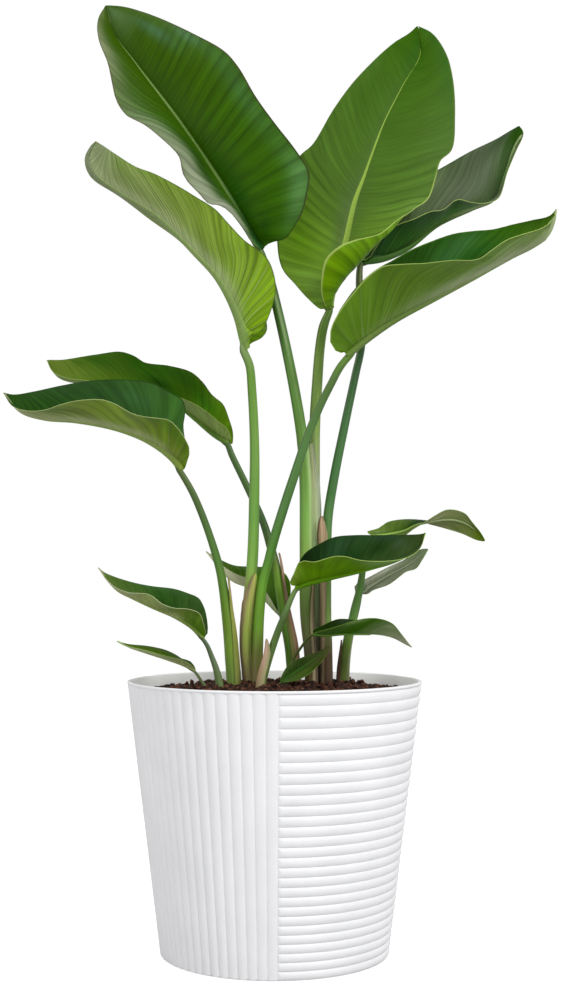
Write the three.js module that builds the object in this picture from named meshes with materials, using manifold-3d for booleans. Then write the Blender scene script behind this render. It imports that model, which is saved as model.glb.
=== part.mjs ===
// Potted bird of paradise: fifteen paddle leaves on sheathed stalks, in five shoots,
// growing from potting soil in a white tapered pot that is reeded on one half and ringed on the other.
// Millimetres, +Z up. The origin is the centre of the pot's foot, on the ground. -Y is the front.
import * as THREE from "three";
import { mergeVertices } from "three/addons/utils/BufferGeometryUtils.js";
import Module from "manifold-3d";

const wasm = await Module();
wasm.setup();

// Pot
const POT_HEIGHT = 266;
const RIM_RADIUS = 146;
const FOOT_RADIUS = 112.5;
const WALL = 4;
const FLOOR = 6;
const LIP_HEIGHT = 3;
const LIP_OVERLAP = 0.1;
const FOOT_ROUND = 2.5;
const REED_COUNT = 38;
// A reed's outline: how far across it and how far below its crest.
const REED_PROFILE = [[0, 1.4], [0.16, 0.35], [0.5, 0], [0.84, 0.35]];
const RING_COUNT = 28;
const RING_SHOULDER = 0.24;
const RING_INSET = 0.15;
const GROOVE_DEPTH = 1.4;
const ROUND_SIDES = 48;
const RING_SIDES = 28;
// How far the flat sides of the pot's hollow stand inside its true round.
const HOLLOW_FLATNESS = 0.3;

// Soil
const SOIL_EDGE_LEVEL = 251.5;
const SOIL_HEAP = 8;
const SOIL_SIDES = 32;
const SOIL_RINGS = 5;
const ROOT_LEVEL = 222;
const ROOT_TAPER = 0.85;
const HOLE_FLOOR = 219;

// Plant
const CLEARANCE = 0.35;
const JOIN_GAP = 0.55;
const BLADE_THICKNESS = 0.8;
const TIP_HALF_WIDTH = 0.9;
const END_SHARE = 0.12;
const RIB_DEPTH = 0.32;
const SHEATH_THICKNESS = 0.9;
const SHEATH_ROOT = 12;
const SHEATH_TIP = 0.1;
const SHEATH_TAPER = 1.8;
const SHEATH_LEAN = 1.2;
const SHEATH_LEAN_BEND = 5;
const SHEATH_ROWS = 6;
const SHEATH_COLUMNS = 4;
const SHEATH_HOLE_REACH = 0.7;
const STALK_SIDES = 8;
const THIN_STALK = 5;

// The outlines below are written as a front view. Each point is [across, up, behind]: where it shows in the
// upright plane through the pot's axis, seen from the eye, and how far behind that plane it really lies.
const EYE = new THREE.Vector3(-38, -1550, 377);

function seen([across, up, behind]) {
  const reach = (behind - EYE.y) / -EYE.y;
  return new THREE.Vector3(EYE.x + (across - EYE.x) * reach, behind, EYE.z + (up - EYE.z) * reach);
}

// Each leaf: its midrib, its left and right margins as seen on its upper face with the tip up, all from the
// base to the tip, and its stalk from the rib's base down to the soil, whose points also hold its width.
// A fold is the line that the middle of a half passes through, where that half is curled or bellied.
const LEAVES = [
  {
    name: "tall_left",
    rows: 14,
    rib: [[-14, 697, 12], [-30, 724, 18], [-60, 773, 32], [-100, 832, 46], [-140, 885, 55],
      [-162, 916, 58], [-171, 945, 56]],
    left: [[-24, 705, 4], [-33, 721, -14], [-46, 737, -28], [-57, 743, -34], [-66, 744, -37], [-76, 755, -38],
      [-90, 771, -36], [-96, 792, -30], [-110, 808, -24], [-130, 826, -14], [-150, 836, -6], [-160, 850, 2],
      [-168, 888, 22], [-177, 912, 38], [-178, 932, 50]],
    right: [[-5, 704, 8], [10, 709, 2], [20, 724, 0], [27, 738, 2], [32, 757, 6], [34, 777, 10],
      [20, 800, 14], [0, 826, 20], [-20, 854, 28], [-38, 885, 36], [-52, 901, 42], [-80, 917, 48],
      [-120, 935.5, 54], [-150, 944, 56]],
    stalk: [[-14, 697, 12, 7], [-4.6, 666, 12, 9], [1.8, 640, 12, 9.6], [10.8, 600, 11, 10.2],
      [20.6, 550, 10, 10.8], [27.5, 505, 10, 11.4], [30.5, 465, 10, 12.4], [31, 400, 10, 12.8],
      [31.5, 330, 10, 12.8], [35, 294, 9, 12.4], [36, 262, 8, 12.4]],
  },
  {
    name: "bowed_left",
    rows: 14,
    rib: [[-29, 597, -32], [-38, 630, -44], [-58, 668, -58], [-80, 692, -68], [-120, 731, -85],
      [-158, 755, -99], [-180, 772, -108], [-187, 790, -113], [-180, 806, -116]],
    left: [[-25, 607, -36], [-13, 616, -44], [-5, 632, -52], [1, 655, -60], [-2, 676, -66], [-10, 691, -72],
      [-30, 706, -80], [-48, 725, -86], [-60, 738, -90], [-80, 751, -96], [-100, 763, -101],
      [-122, 774, -106], [-140, 780.5, -109], [-160, 793, -112], [-175, 803, -114]],
    right: [[-24, 602, -22], [-13, 608, -4], [-8, 618, 14], [-14, 638, 26], [-34, 662, 24], [-60, 682, 16],
      [-92, 708, 0], [-124, 728, -22], [-154, 752, -48], [-184, 771, -80], [-190, 788, -100],
      [-185, 802, -112]],
    stalk: [[-29, 597, -32, 8], [-25.4, 580, -30, 8.4], [-22.9, 555, -26, 8.8], [-20.3, 500, -20, 9.5],
      [-20.7, 440, -16, 10.6], [-21.4, 405, -14, 10.9], [-23, 375, -11, 11.3], [-27, 330, -8, 11.8],
      [-28, 300, -7, 12.4], [-25, 262, -7, 12.4]],
  },
  {
    name: "tall_centre",
    rows: 14,
    rib: [[53, 637, 24], [60, 670, 30], [70, 706, 36], [80, 748, 42], [90, 773, 46], [110, 826, 54],
      [130, 866, 60], [148, 899, 62], [145, 927, 60]],
    left: [[46, 637, 24], [36, 645, 28], [20, 663, 36], [7, 679, 42], [2, 706, 48], [4, 740, 54],
      [13, 772, 58], [25, 794, 60], [38, 806, 60], [60, 843, 62], [80, 871, 63], [100, 892, 64],
      [122, 911, 63], [138, 921, 62]],
    right: [[51, 640, 14], [47, 652, 2], [47, 670, -8], [51, 688, -14], [62, 699, -14], [78, 706, -8],
      [105, 713.5, 4], [122, 727, 16], [140, 740, 28], [155, 750, 36], [163, 772, 42], [168, 790, 46],
      [180, 802, 50], [183, 835, 54], [181, 873, 57], [174, 900, 59], [160, 920, 60]],
    rightFold: [[56, 640, 20], [61, 652, 10], [71, 667, 4], [86, 683, 4], [102, 701, 12], [120, 728, 26],
      [126, 750, 38], [132, 780, 46], [142, 820, 52], [152, 860, 57], [156, 890, 60], [147, 924, 60]],
    stalk: [[53, 637, 24, 7.4], [49, 620, 22, 9.6], [45.5, 600, 21, 10], [42.3, 560, 21, 10.8],
      [40, 520, 22, 11.2], [39.5, 480, 23, 11.4], [39.5, 430, 23, 12], [40, 350, 24, 12],
      [42, 300, 26, 12], [41, 262, 27, 12]],
  },
  {
    name: "upper_right",
    rows: 14,
    rib: [[87, 686, 46], [110, 689, 52], [135, 700, 58], [165, 723, 64], [200, 739, 68], [222, 749, 68],
      [232, 768, 66], [239, 795, 64], [248, 825, 62]],
    left: [[84, 692, 52], [86, 715, 66], [100, 745, 80], [130, 766, 90], [166, 781, 96], [200, 799.5, 94],
      [225, 812, 84], [240, 821, 74]],
    right: [[94, 688, 42], [106, 706, 36], [122, 722, 32], [140, 729, 28], [158, 738, 25], [169, 739.5, 24],
      [184, 750, 22], [200, 746.5, 26], [214, 746, 34], [227, 752, 46], [236, 778, 54], [245, 803, 56],
      [252, 818, 58]],
    stalk: [[87, 686, 46, 6.4], [85, 664, 44, 7.6], [88, 632, 40, 8], [87, 600, 34, 8],
      [80.7, 570, 28, 8.2], [70, 520, 22, 8.8], [58.9, 465, 18, 9.4], [52.8, 425, 16, 9.8],
      [51.5, 380, 15, 10.2], [51, 330, 15, 10.8], [51.5, 300, 15, 11.6], [52, 262, 15, 11.8]],
  },
  {
    name: "boat_right",
    rows: 14,
    rib: [[72, 592, -34], [90, 606, -40], [120, 626, -50], [160, 647, -62], [200, 668, -74],
      [240, 690, -84], [262, 701, -90], [277, 712, -93], [284, 727, -95], [286, 740, -95]],
    left: [[67, 600, -28], [61, 626, -14], [70, 645, -6], [82, 661, -1], [100, 676, 0], [120, 687, -2],
      [140, 699, -7], [160, 708, -14], [180, 715, -24], [200, 718, -34], [220, 720, -46],
      [240, 725, -58], [260, 729, -72], [278, 733, -87]],
    right: [[64, 593, -42], [56, 602, -52], [56, 616, -62], [64, 633, -74], [78, 652, -84], [93, 670, -93],
      [108, 681, -100], [130, 684, -109], [150, 685, -116], [180, 689, -124], [205, 690, -128],
      [220, 699, -128], [235, 708, -125], [252, 714, -119], [270, 721, -108], [280, 729, -99]],
    stalk: [[72, 592, -34, 7.6], [65, 578, -35, 7.9], [56.5, 562, -36, 8], [46, 541, -36, 8.2],
      [33, 510, -35, 8.8], [19.5, 470, -32, 9.4], [6.5, 430, -27, 9.6], [-1, 405, -23, 9.6],
      [-6, 385, -20, 9.3], [-12, 362, -17, 9.6], [-15.5, 330, -16, 10], [-17, 295, -18, 10.8],
      [-18, 262, -21, 11]],
  },
  {
    name: "side_left_front",
    rows: 12,
    rib: [[-92, 475, -24], [-100, 485, -27], [-112, 495, -31], [-130, 505.5, -36], [-150, 513, -40],
      [-170, 518, -44], [-200, 522.5, -50], [-230, 524.5, -56], [-254, 532, -60], [-271, 551, -62]],
    left: [[-88, 482, -33], [-85, 494, -44], [-89, 505, -55], [-97, 517, -66], [-106, 525, -74],
      [-125, 528.5, -82], [-142, 532.5, -87], [-158, 541, -90], [-172, 545, -91], [-198, 543, -92],
      [-214, 539.5, -91], [-230, 535, -87], [-248, 535, -79], [-262, 540, -69]],
    right: [[-88, 482, -18], [-89, 500, -12], [-91, 520, -6], [-89, 534, -2], [-92, 545, 0], [-104, 552, 0],
      [-125, 562, -4], [-155, 565.5, -13], [-185, 564.5, -24], [-213, 559.5, -36], [-240, 553.5, -48],
      [-262, 550, -58]],
    stalk: [[-92, 475, -24, 6.6], [-82.8, 454, -23, 7.2], [-74, 434.5, -21, 7.6], [-62.9, 404, -19, 8],
      [-54.5, 375, -17, 8.8], [-50.8, 355, -16, 9.6], [-48, 335, -15, 10.8], [-45, 312, -15, 12.6],
      [-43, 290, -15, 13.6], [-41, 262, -15, 14]],
  },
  {
    name: "side_left_back",
    rows: 12,
    rib: [[-46, 503, 36], [-60, 511, 40], [-80, 527, 46], [-92, 536, 50], [-120, 548, 56], [-160, 557, 62],
      [-195, 561, 65], [-216, 567, 65], [-228, 584, 64]],
    left: [[-44, 506, 28], [-47, 515, 22], [-56, 523, 19], [-75, 538, 17], [-92, 546, 17], [-120, 553, 18],
      [-150, 560, 22], [-180, 563, 30], [-206, 566, 42], [-222, 574, 56]],
    right: [[-43, 500, 42], [-42, 512, 50], [-46, 526, 60], [-52, 541, 70], [-62, 550, 78], [-72, 564, 84],
      [-84, 574, 88], [-105, 579, 92], [-130, 582, 95], [-141, 589, 96], [-155, 593.5, 96],
      [-180, 590.5, 92], [-210, 585.5, 78]],
    stalk: [[-46, 503, 36, 6.4], [-43, 490, 34, 7], [-29, 461, 28, 7.4], [-12, 424, 18, 8],
      [-4, 398, 12, 8.8], [1, 379, 9, 9.2], [4, 362, 7, 9.6], [8, 340, 6, 11], [12, 320, 5, 12.4],
      [16, 300, 4, 13.2], [18, 280, 4, 13.4], [19, 262, 4, 13.4]],
  },
  {
    name: "low_right",
    rows: 10,
    rib: [[21, 358, -42], [35, 362.5, -44], [58, 367.5, -46], [80, 372, -47], [100, 377, -48],
      [118, 382, -48], [135, 390, -47], [146, 400, -46], [151.5, 412, -45]],
    left: [[18, 364, -36], [24, 383, -28], [31, 393, -24], [45, 402, -20], [60, 408.5, -18], [80, 410.5, -18],
      [100, 410.5, -21], [130, 410, -31], [147, 411, -41]],
    right: [[15, 361, -49], [19, 372, -60], [25, 384, -68], [40, 384, -77], [50, 387, -81], [60, 389.5, -84],
      [70, 389, -85], [85, 384.5, -86], [100, 383, -85], [118, 384, -80], [132, 388, -70],
      [144, 397, -58]],
    stalk: [[21, 358, -42, 5], [15.5, 345, -42, 5.6], [10, 331, -43, 6.5], [4.5, 318, -44, 7],
      [-4, 294, -45, 7.6], [-11.5, 270, -46, 9], [-13.5, 258, -46, 9.4]],
  },
  {
    name: "low_left",
    rows: 10,
    rib: [[-70.5, 308, -34], [-75, 312, -36], [-82, 318.5, -38], [-100, 329, -42], [-120, 337, -46],
      [-140, 346, -50], [-156, 354, -52], [-166, 364, -53], [-176, 377, -54]],
    left: [[-69, 314, -43], [-71, 323, -54], [-75, 332, -64], [-86, 336, -71], [-100, 337, -76],
      [-111, 341, -78], [-125, 351, -78], [-145, 353, -75], [-158, 358, -67], [-168, 367, -59]],
    right: [[-67, 312, -26], [-67, 322, -20], [-70, 337, -13], [-76, 347.5, -10], [-85, 351.5, -11],
      [-100, 356.5, -17], [-120, 359.5, -26], [-140, 363.5, -36], [-160, 369, -46], [-170, 373, -51]],
    stalk: [[-70.5, 308, -34, 4.2], [-67, 300, -34, 4.6], [-62.5, 289, -34, 5.4], [-58.5, 278, -35, 6.4],
      [-56, 268, -35, 7.4], [-54, 257, -35, 8]],
  },
  {
    name: "small_left",
    rows: 8,
    rib: [[-79, 275.5, -40], [-90, 281, -42], [-110, 287.5, -44], [-130, 293.5, -46], [-145, 298.5, -47],
      [-157, 304, -48]],
    left: [[-80, 278.5, -47], [-86, 283, -53], [-96, 287, -57], [-110, 290, -58], [-127, 295, -56],
      [-146, 300, -51]],
    right: [[-80, 279.5, -35], [-85, 285, -31], [-92, 287, -29], [-98, 291, -29], [-108, 296, -30],
      [-125, 300, -34], [-146, 301.8, -42]],
    stalk: [[-79, 275.5, -40, 2.8], [-76, 270, -40, 3], [-72, 264, -39, 3.2], [-68, 257, -38, 3.6]],
  },
  {
    name: "hidden_back",
    rows: 8,
    rib: [[8, 330, 34], [1, 335, 35], [-9, 345, 37], [-27, 358, 40], [-40, 363, 42], [-51, 371, 43],
      [-69, 393, 42]],
    left: [[3, 334, 28], [-7, 351, 22], [-20, 364, 20], [-38, 371, 22], [-50, 379, 30], [-60, 388, 38]],
    right: [[13, 342, 40], [16, 356, 46], [12, 370, 52], [0, 378, 54], [-20, 379, 54], [-40, 379.5, 52],
      [-52, 384, 48], [-61, 389, 45]],
    stalk: [[8, 330, 34, 3.6], [12, 316, 32, 4.4], [15, 300, 30, 5], [17, 280, 29, 5.6],
      [18, 262, 28, 6]],
  },
  {
    name: "twisted_right",
    rows: 12,
    rib: [[96, 409, 22], [115, 411, 22], [130, 414, 24], [142, 420, 27], [152, 422.5, 29], [165, 424.5, 31],
      [178, 425, 33], [190, 422, 35], [201, 415, 37], [210, 404, 38]],
    left: [[92, 413, 28], [104, 417, 33], [113, 423, 37], [132, 426, 40], [144, 425, 42], [154, 421, 42],
      [170, 416.5, 40], [188, 411, 39], [202, 405, 38.5]],
    right: [[99, 405, 14], [115, 404, 8], [128, 408, 7], [139, 415.5, 9], [150, 422, 14], [160, 429, 20],
      [173, 435.5, 25], [190, 432, 29], [197, 424, 32], [207, 411, 36]],
    stalk: [[96, 409, 22, 4.4], [92, 398, 24, 5], [90, 387, 26, 5.6], [87.5, 373, 28, 6.6],
      [84.5, 355, 29, 7.6], [80, 338, 28, 8], [76.5, 322, 27, 8.6], [72.5, 306, 26, 9],
      [68.5, 284, 25, 9.4], [66.5, 262, 25, 9.8]],
  },
  {
    name: "turned_right",
    rows: 8,
    rib: [[87, 352, 40], [100, 361, 44], [115, 370, 46], [130, 378, 46], [143, 387, 44], [153, 396, 42]],
    left: [[92, 351, 37], [98, 355, 36], [113, 360, 34], [122, 366, 34], [131, 373, 35], [141, 376.5, 36],
      [147, 385, 38]],
    right: [[80, 353, 45], [80, 360, 48], [92, 367, 51], [113, 378, 54], [128, 384.5, 54], [138, 391, 52],
      [146, 395.5, 47]],
    stalk: [[87, 352, 40, 3.4], [83.5, 339, 40, 3.8], [80, 325, 39, 4.2], [76, 308, 38, 4.6],
      [73, 288, 37, 5], [71.5, 262, 37, 5.4]],
  },
  {
    name: "arched_right",
    rows: 9,
    rib: [[38, 311.5, -24], [50, 310, -26], [65, 311, -28], [85, 311, -30], [105, 310, -31], [118, 307, -31],
      [128, 302, -31], [136, 297.5, -30]],
    left: [[38, 315, -19], [48, 320, -11], [56, 324, -8], [64, 326.5, -7], [85, 325.5, -9], [103, 325, -13],
      [117, 318.5, -19], [128, 306.5, -26]],
    right: [[42, 313, -31], [52, 316, -39], [65, 320, -44], [76, 324, -46], [90, 327, -47], [104, 326.5, -46],
      [117, 321.5, -43], [126, 311, -38]],
    stalk: [[38, 311.5, -24, 2.4], [32, 306, -21, 2.6], [26, 298, -17, 2.8], [20, 289, -13, 3],
      [15, 277, -11, 3.2], [12, 262, -11, 3.6]],
  },
  {
    name: "new_shoot",
    rows: 7,
    rib: [[6, 264, -34], [20, 273, -34], [35, 283, -30], [45, 291, -26], [54, 299, -22]],
    left: [[6, 268, -29], [12, 279, -23], [20, 285, -20], [30, 289, -18], [42, 293, -18], [50, 297, -20]],
    right: [[11, 263.5, -41], [20, 265, -44], [30, 269, -44], [40, 277, -40], [48, 286, -33],
      [53, 294, -26]],
    stalk: [[6, 264, -34, 4.6], [3, 257, -34, 5.2]],
  },
];

// Dry sheaths: the stalk that each hugs, its top, the way it faces (degrees from the front towards +X),
// and half the angle that it covers at the soil.
const SHEATHS = [
  { name: "sheath_bowed_left", stalk: "bowed_left", top: 370, facing: 15, halfSpan: 78 },
  { name: "sheath_side_left_front", stalk: "side_left_front", top: 366, facing: 62, halfSpan: 52 },
  { name: "sheath_side_left_back", stalk: "side_left_back", top: 390, facing: 72, halfSpan: 44 },
  { name: "sheath_upper_right", stalk: "upper_right", top: 424, facing: -48, halfSpan: 46 },
  { name: "sheath_tall_centre", stalk: "tall_centre", top: 500, facing: 62, halfSpan: 34 },
  { name: "sheath_tall_left", stalk: "tall_left", top: 366, facing: 28, halfSpan: 42 },
  { name: "sheath_low_right", stalk: "low_right", top: 303, facing: -38, halfSpan: 66 },
  { name: "sheath_twisted_right", stalk: "twisted_right", top: 303, facing: -62, halfSpan: 50 },
];

const COLOURS = {
  pot: 0xf1f1f2,
  soil: 0x35241b,
  blade: 0x2f6b22,
  stalk: 0x5f9438,
  sheath: 0x86654f,
};

function geometryFrom(points, faces) {
  const positions = new Float32Array(points.flatMap((point) => [point.x, point.y, point.z]));
  const geometry = new THREE.BufferGeometry();
  geometry.setAttribute("position", new THREE.BufferAttribute(positions, 3));
  geometry.setIndex(faces);
  return geometry;
}

function namedMesh(name, geometry, colour, roughness) {
  geometry.computeVertexNormals();
  const material = new THREE.MeshStandardMaterial({ color: colour, roughness, metalness: 0 });
  material.flatShading = true;
  const mesh = new THREE.Mesh(geometry, material);
  mesh.name = name;
  return mesh;
}

// A closed skin over a row of rings, with flat ends. Each ring turns right-handed about the way that the row
// runs.
function skin(rings) {
  const size = rings[0].length;
  const last = (rings.length - 1) * size;
  const faces = [];
  for (let row = 0; row < rings.length - 1; row += 1) {
    for (let spot = 0; spot < size; spot += 1) {
      const a = row * size + spot;
      const b = row * size + ((spot + 1) % size);
      faces.push(a, b, b + size, a, b + size, a + size);
    }
  }
  for (let spot = 1; spot < size - 1; spot += 1) {
    faces.push(0, spot + 1, spot, last, last + spot, last + spot + 1);
  }
  return geometryFrom(rings.flat(), faces);
}

// A closed panel between two grids of points, split alike on both faces. Rows run base to tip, and columns
// run left to right as seen on the upper face.
function panel(upper, lower) {
  const rows = upper.length;
  const columns = upper[0].length;
  const under = rows * columns;
  const at = (row, column) => row * columns + column;
  const faces = [];
  for (let row = 0; row < rows - 1; row += 1) {
    for (let column = 0; column < columns - 1; column += 1) {
      const [a, b] = [at(row, column), at(row, column + 1)];
      const [c, d] = [at(row + 1, column + 1), at(row + 1, column)];
      faces.push(a, b, c, a, c, d);
      faces.push(under + a, under + c, under + b, under + a, under + d, under + c);
    }
  }
  const edge = [];
  for (let column = 0; column < columns; column += 1) {
    edge.push(at(0, column));
  }
  for (let row = 1; row < rows; row += 1) {
    edge.push(at(row, columns - 1));
  }
  for (let column = columns - 2; column >= 0; column -= 1) {
    edge.push(at(rows - 1, column));
  }
  for (let row = rows - 2; row > 0; row -= 1) {
    edge.push(at(row, 0));
  }
  edge.forEach((p, spot) => {
    const q = edge[(spot + 1) % edge.length];
    faces.push(p, under + p, under + q, p, under + q, q);
  });
  return geometryFrom([...upper.flat(), ...lower.flat()], faces);
}

function smoothLine(points) {
  return new THREE.CatmullRomCurve3(points, false, "centripetal");
}

// A margin starts beside the rib's base and ends beside its tip, so both ends of the blade are short edges.
function marginLine(rib, points, footHalfWidth) {
  const beside = (along, towards, distance) => {
    const place = rib.getPointAt(along);
    const way = towards.clone().sub(place);
    const tangent = rib.getTangentAt(along);
    way.addScaledVector(tangent, -way.dot(tangent));
    return place.addScaledVector(way.normalize(), distance);
  };
  const line = points.map(seen);
  const start = beside(0, line[0], footHalfWidth);
  const end = beside(1, line[line.length - 1], TIP_HALF_WIDTH);
  return smoothLine([start, ...line, end]);
}

// Columns across a blade, from the left margin at -1 to the right margin at 1. The rib's edges are near 0.
const BLADE_COLUMNS = [-1, -0.68, -0.36, -0.07, 0, 0.07, 0.36, 0.68, 1];
const MIDDLE_COLUMN = (BLADE_COLUMNS.length - 1) / 2;

// Where a column stands at a share of the length. Towards both narrow ends the columns spread out evenly.
function columnPlace(index, along) {
  const even = index / MIDDLE_COLUMN - 1;
  const atEnd = Math.max(0, 1 - Math.min(along, 1 - along) / END_SHARE);
  return THREE.MathUtils.lerp(BLADE_COLUMNS[index], even, atEnd);
}

function bladeGrid(leaf) {
  const rib = smoothLine(leaf.rib.map(seen));
  const foot = leaf.stalk[0][3] / 2;
  const left = marginLine(rib, leaf.left, foot);
  const right = marginLine(rib, leaf.right, foot);
  const rightFold = leaf.rightFold ? smoothLine(leaf.rightFold.map(seen)) : null;
  const grid = [];
  for (let row = 0; row <= leaf.rows; row += 1) {
    const along = row / leaf.rows;
    const middle = rib.getPointAt(along);
    grid.push(BLADE_COLUMNS.map((_, index) => {
      const column = columnPlace(index, along);
      const out = Math.abs(column);
      const edge = (column < 0 ? left : right).getPointAt(along);
      const place = middle.clone().lerp(edge, out);
      if (column > 0 && rightFold) {
        const fold = rightFold.getPointAt(along);
        const pull = fold.sub(middle.clone().lerp(edge, 0.5));
        place.addScaledVector(pull, 4 * out * (1 - out));
      }
      return place;
    }));
  }
  return grid;
}

// Which way the upper face looks at each point. Each end of the blade is flat, so its points look one way.
function gridNormals(grid) {
  const normals = grid.map((line) => line.map(() => new THREE.Vector3()));
  const addFace = (...corners) => {
    const [a, b, c] = corners.map(([row, column]) => grid[row][column]);
    const facing = b.clone().sub(a).cross(c.clone().sub(a));
    corners.forEach(([row, column]) => normals[row][column].add(facing));
  };
  for (let row = 0; row < grid.length - 1; row += 1) {
    for (let column = 0; column < grid[0].length - 1; column += 1) {
      addFace([row, column], [row, column + 1], [row + 1, column + 1]);
      addFace([row, column], [row + 1, column + 1], [row + 1, column]);
    }
  }
  for (const end of [normals[0], normals[normals.length - 1]]) {
    const middle = end[MIDDLE_COLUMN].clone();
    end.forEach((normal) => normal.copy(middle));
  }
  return normals.map((line) => line.map((normal) => normal.normalize()));
}

// The blade is a thin panel with its midrib raised on the underside, thickest at the base.
function bladeGeometry(leaf) {
  const grid = bladeGrid(leaf);
  const normals = gridNormals(grid);
  const ribDepth = leaf.stalk[0][3] * RIB_DEPTH;
  const offset = (side) => grid.map((line, row) => line.map((place, column) => {
    const atRib = column === MIDDLE_COLUMN ? 1 : 0;
    const swelling = side < 0 ? ribDepth * atRib * (1 - row / leaf.rows) : 0;
    return place.clone().addScaledVector(normals[row][column], side * (BLADE_THICKNESS / 2 + swelling));
  }));
  return panel(offset(1), offset(-1));
}

// A stalk's middle line and width, from the root up to just short of the blade, as straight spans. Its top
// end is square to the rib, as the blade's foot is.
function stalkLine(leaf) {
  const ribStart = smoothLine(leaf.rib.map(seen)).getTangent(0);
  const spots = leaf.stalk.map((spot) => ({ place: seen(spot), width: spot[3] }));
  const soilSpot = spots[spots.length - 1];
  const root = soilSpot.place.clone().setZ(ROOT_LEVEL);
  spots.push({ place: root, width: soilSpot.width * ROOT_TAPER });
  spots.reverse();
  const last = spots.length - 1;
  spots[last].place.addScaledVector(ribStart, -JOIN_GAP);
  const curve = smoothLine(spots.map((spot) => spot.place));
  return spots.map(({ place, width }, step) => {
    const tangent = step < last ? curve.getTangent(step / last) : ribStart;
    const side = tangent.clone().cross(new THREE.Vector3(0, -1, 0)).normalize();
    return { middle: place, radius: width / 2, side, front: side.clone().cross(tangent) };
  });
}

// The stalk's middle, radius and directions at a height, on the straight span that passes it.
function stalkAt(line, height) {
  const above = Math.max(1, line.findIndex((spot) => spot.middle.z > height));
  const [from, to] = [line[above - 1], line[above]];
  const part = (height - from.middle.z) / (to.middle.z - from.middle.z);
  return {
    middle: from.middle.clone().lerp(to.middle, part),
    radius: THREE.MathUtils.lerp(from.radius, to.radius, part),
    side: from.side.clone().lerp(to.side, part).normalize(),
    front: from.front.clone().lerp(to.front, part).normalize(),
  };
}

function rimPoint(spot, angle, distance) {
  return spot.middle.clone()
    .addScaledVector(spot.front, distance * Math.cos(angle))
    .addScaledVector(spot.side, distance * Math.sin(angle));
}

function stalkGeometry(leaf, extra = 0) {
  const sides = leaf.stalk[0][3] < THIN_STALK ? STALK_SIDES - 2 : STALK_SIDES;
  const rings = stalkLine(leaf).map((spot) => Array.from({ length: sides }, (_, side) => (
    rimPoint(spot, (2 * Math.PI * side) / sides, spot.radius + extra)
  )));
  if (extra > 0) {
    rings[0].forEach((point) => point.setZ(HOLE_FLOOR));
  }
  return skin(rings);
}

// The heights of a sheath's rows: even steps, and a row at each bend of its stalk, so that it hugs the stalk.
function sheathHeights(line, bottom, top) {
  const bends = line.map((spot) => spot.middle.z).filter((height) => height > bottom && height < top);
  const step = (top - bottom) / SHEATH_ROWS;
  const even = Array.from({ length: SHEATH_ROWS - 1 }, (_, row) => bottom + step * (row + 1));
  const spare = even.filter((height) => bends.every((bend) => Math.abs(bend - height) > step / 2));
  return [bottom, ...bends, ...spare, top].sort((one, other) => one - other);
}

// A dry sheath: a curved strip that hugs a stalk and narrows to a point that leans off it.
function sheathGeometry(sheath, extra = 0) {
  const line = stalkLine(LEAVES.find((leaf) => leaf.name === sheath.stalk));
  const bottom = SOIL_EDGE_LEVEL + SOIL_HEAP / 2 - SHEATH_ROOT - 2 * extra;
  const facing = THREE.MathUtils.degToRad(sheath.facing);
  const footSpan = THREE.MathUtils.degToRad(sheath.halfSpan);
  const outer = [];
  const inner = [];
  for (const height of sheathHeights(line, bottom, sheath.top)) {
    const rise = (height - bottom) / (sheath.top - bottom);
    const spot = stalkAt(line, height);
    const halfSpan = footSpan * (1 - (1 - SHEATH_TIP) * rise ** SHEATH_TAPER) + extra / spot.radius;
    const angles = Array.from({ length: SHEATH_COLUMNS + 1 }, (_, column) => (
      facing + halfSpan * ((2 * column) / SHEATH_COLUMNS - 1)
    ));
    const lift = CLEARANCE + SHEATH_LEAN * rise ** SHEATH_LEAN_BEND;
    const near = (spot.radius + lift) / Math.cos(halfSpan / SHEATH_COLUMNS);
    const far = near + SHEATH_THICKNESS + extra;
    const inside = extra > 0 ? SHEATH_HOLE_REACH * near : near;
    inner.push(angles.map((angle) => rimPoint(spot, angle, inside)));
    outer.push(angles.map((angle) => rimPoint(spot, angle, far)));
  }
  return panel(outer, inner);
}

function solidOf(geometry) {
  const bare = geometry.clone();
  bare.deleteAttribute("normal");
  bare.deleteAttribute("uv");
  const merged = mergeVertices(bare, 1e-4);
  const vertProperties = merged.attributes.position.array;
  const triVerts = new Uint32Array(merged.index.array);
  return new wasm.Manifold(new wasm.Mesh({ numProp: 3, vertProperties, triVerts }));
}

function geometryOf(solid) {
  const made = solid.getMesh();
  const positions = new Float32Array(made.numVert * 3);
  for (let vertex = 0; vertex < made.numVert; vertex += 1) {
    const start = vertex * made.numProp;
    positions.set(made.vertProperties.subarray(start, start + 3), vertex * 3);
  }
  const geometry = new THREE.BufferGeometry();
  geometry.setAttribute("position", new THREE.BufferAttribute(positions, 3));
  geometry.setIndex(new THREE.BufferAttribute(made.triVerts, 1));
  return geometry;
}

function wallRadius(height) {
  return THREE.MathUtils.lerp(FOOT_RADIUS, RIM_RADIUS, height / POT_HEIGHT);
}

function onCircle(radius, angle, height) {
  return new THREE.Vector3(radius * Math.cos(angle), radius * Math.sin(angle), height);
}

// A round solid from [radius, height] pairs that run up the outside, with flat ends.
function turned(profile, sides = ROUND_SIDES) {
  return skin(profile.map(([radius, height]) => (
    Array.from({ length: sides }, (_, side) => onCircle(radius, (2 * Math.PI * side) / sides, height))
  )));
}

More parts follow.
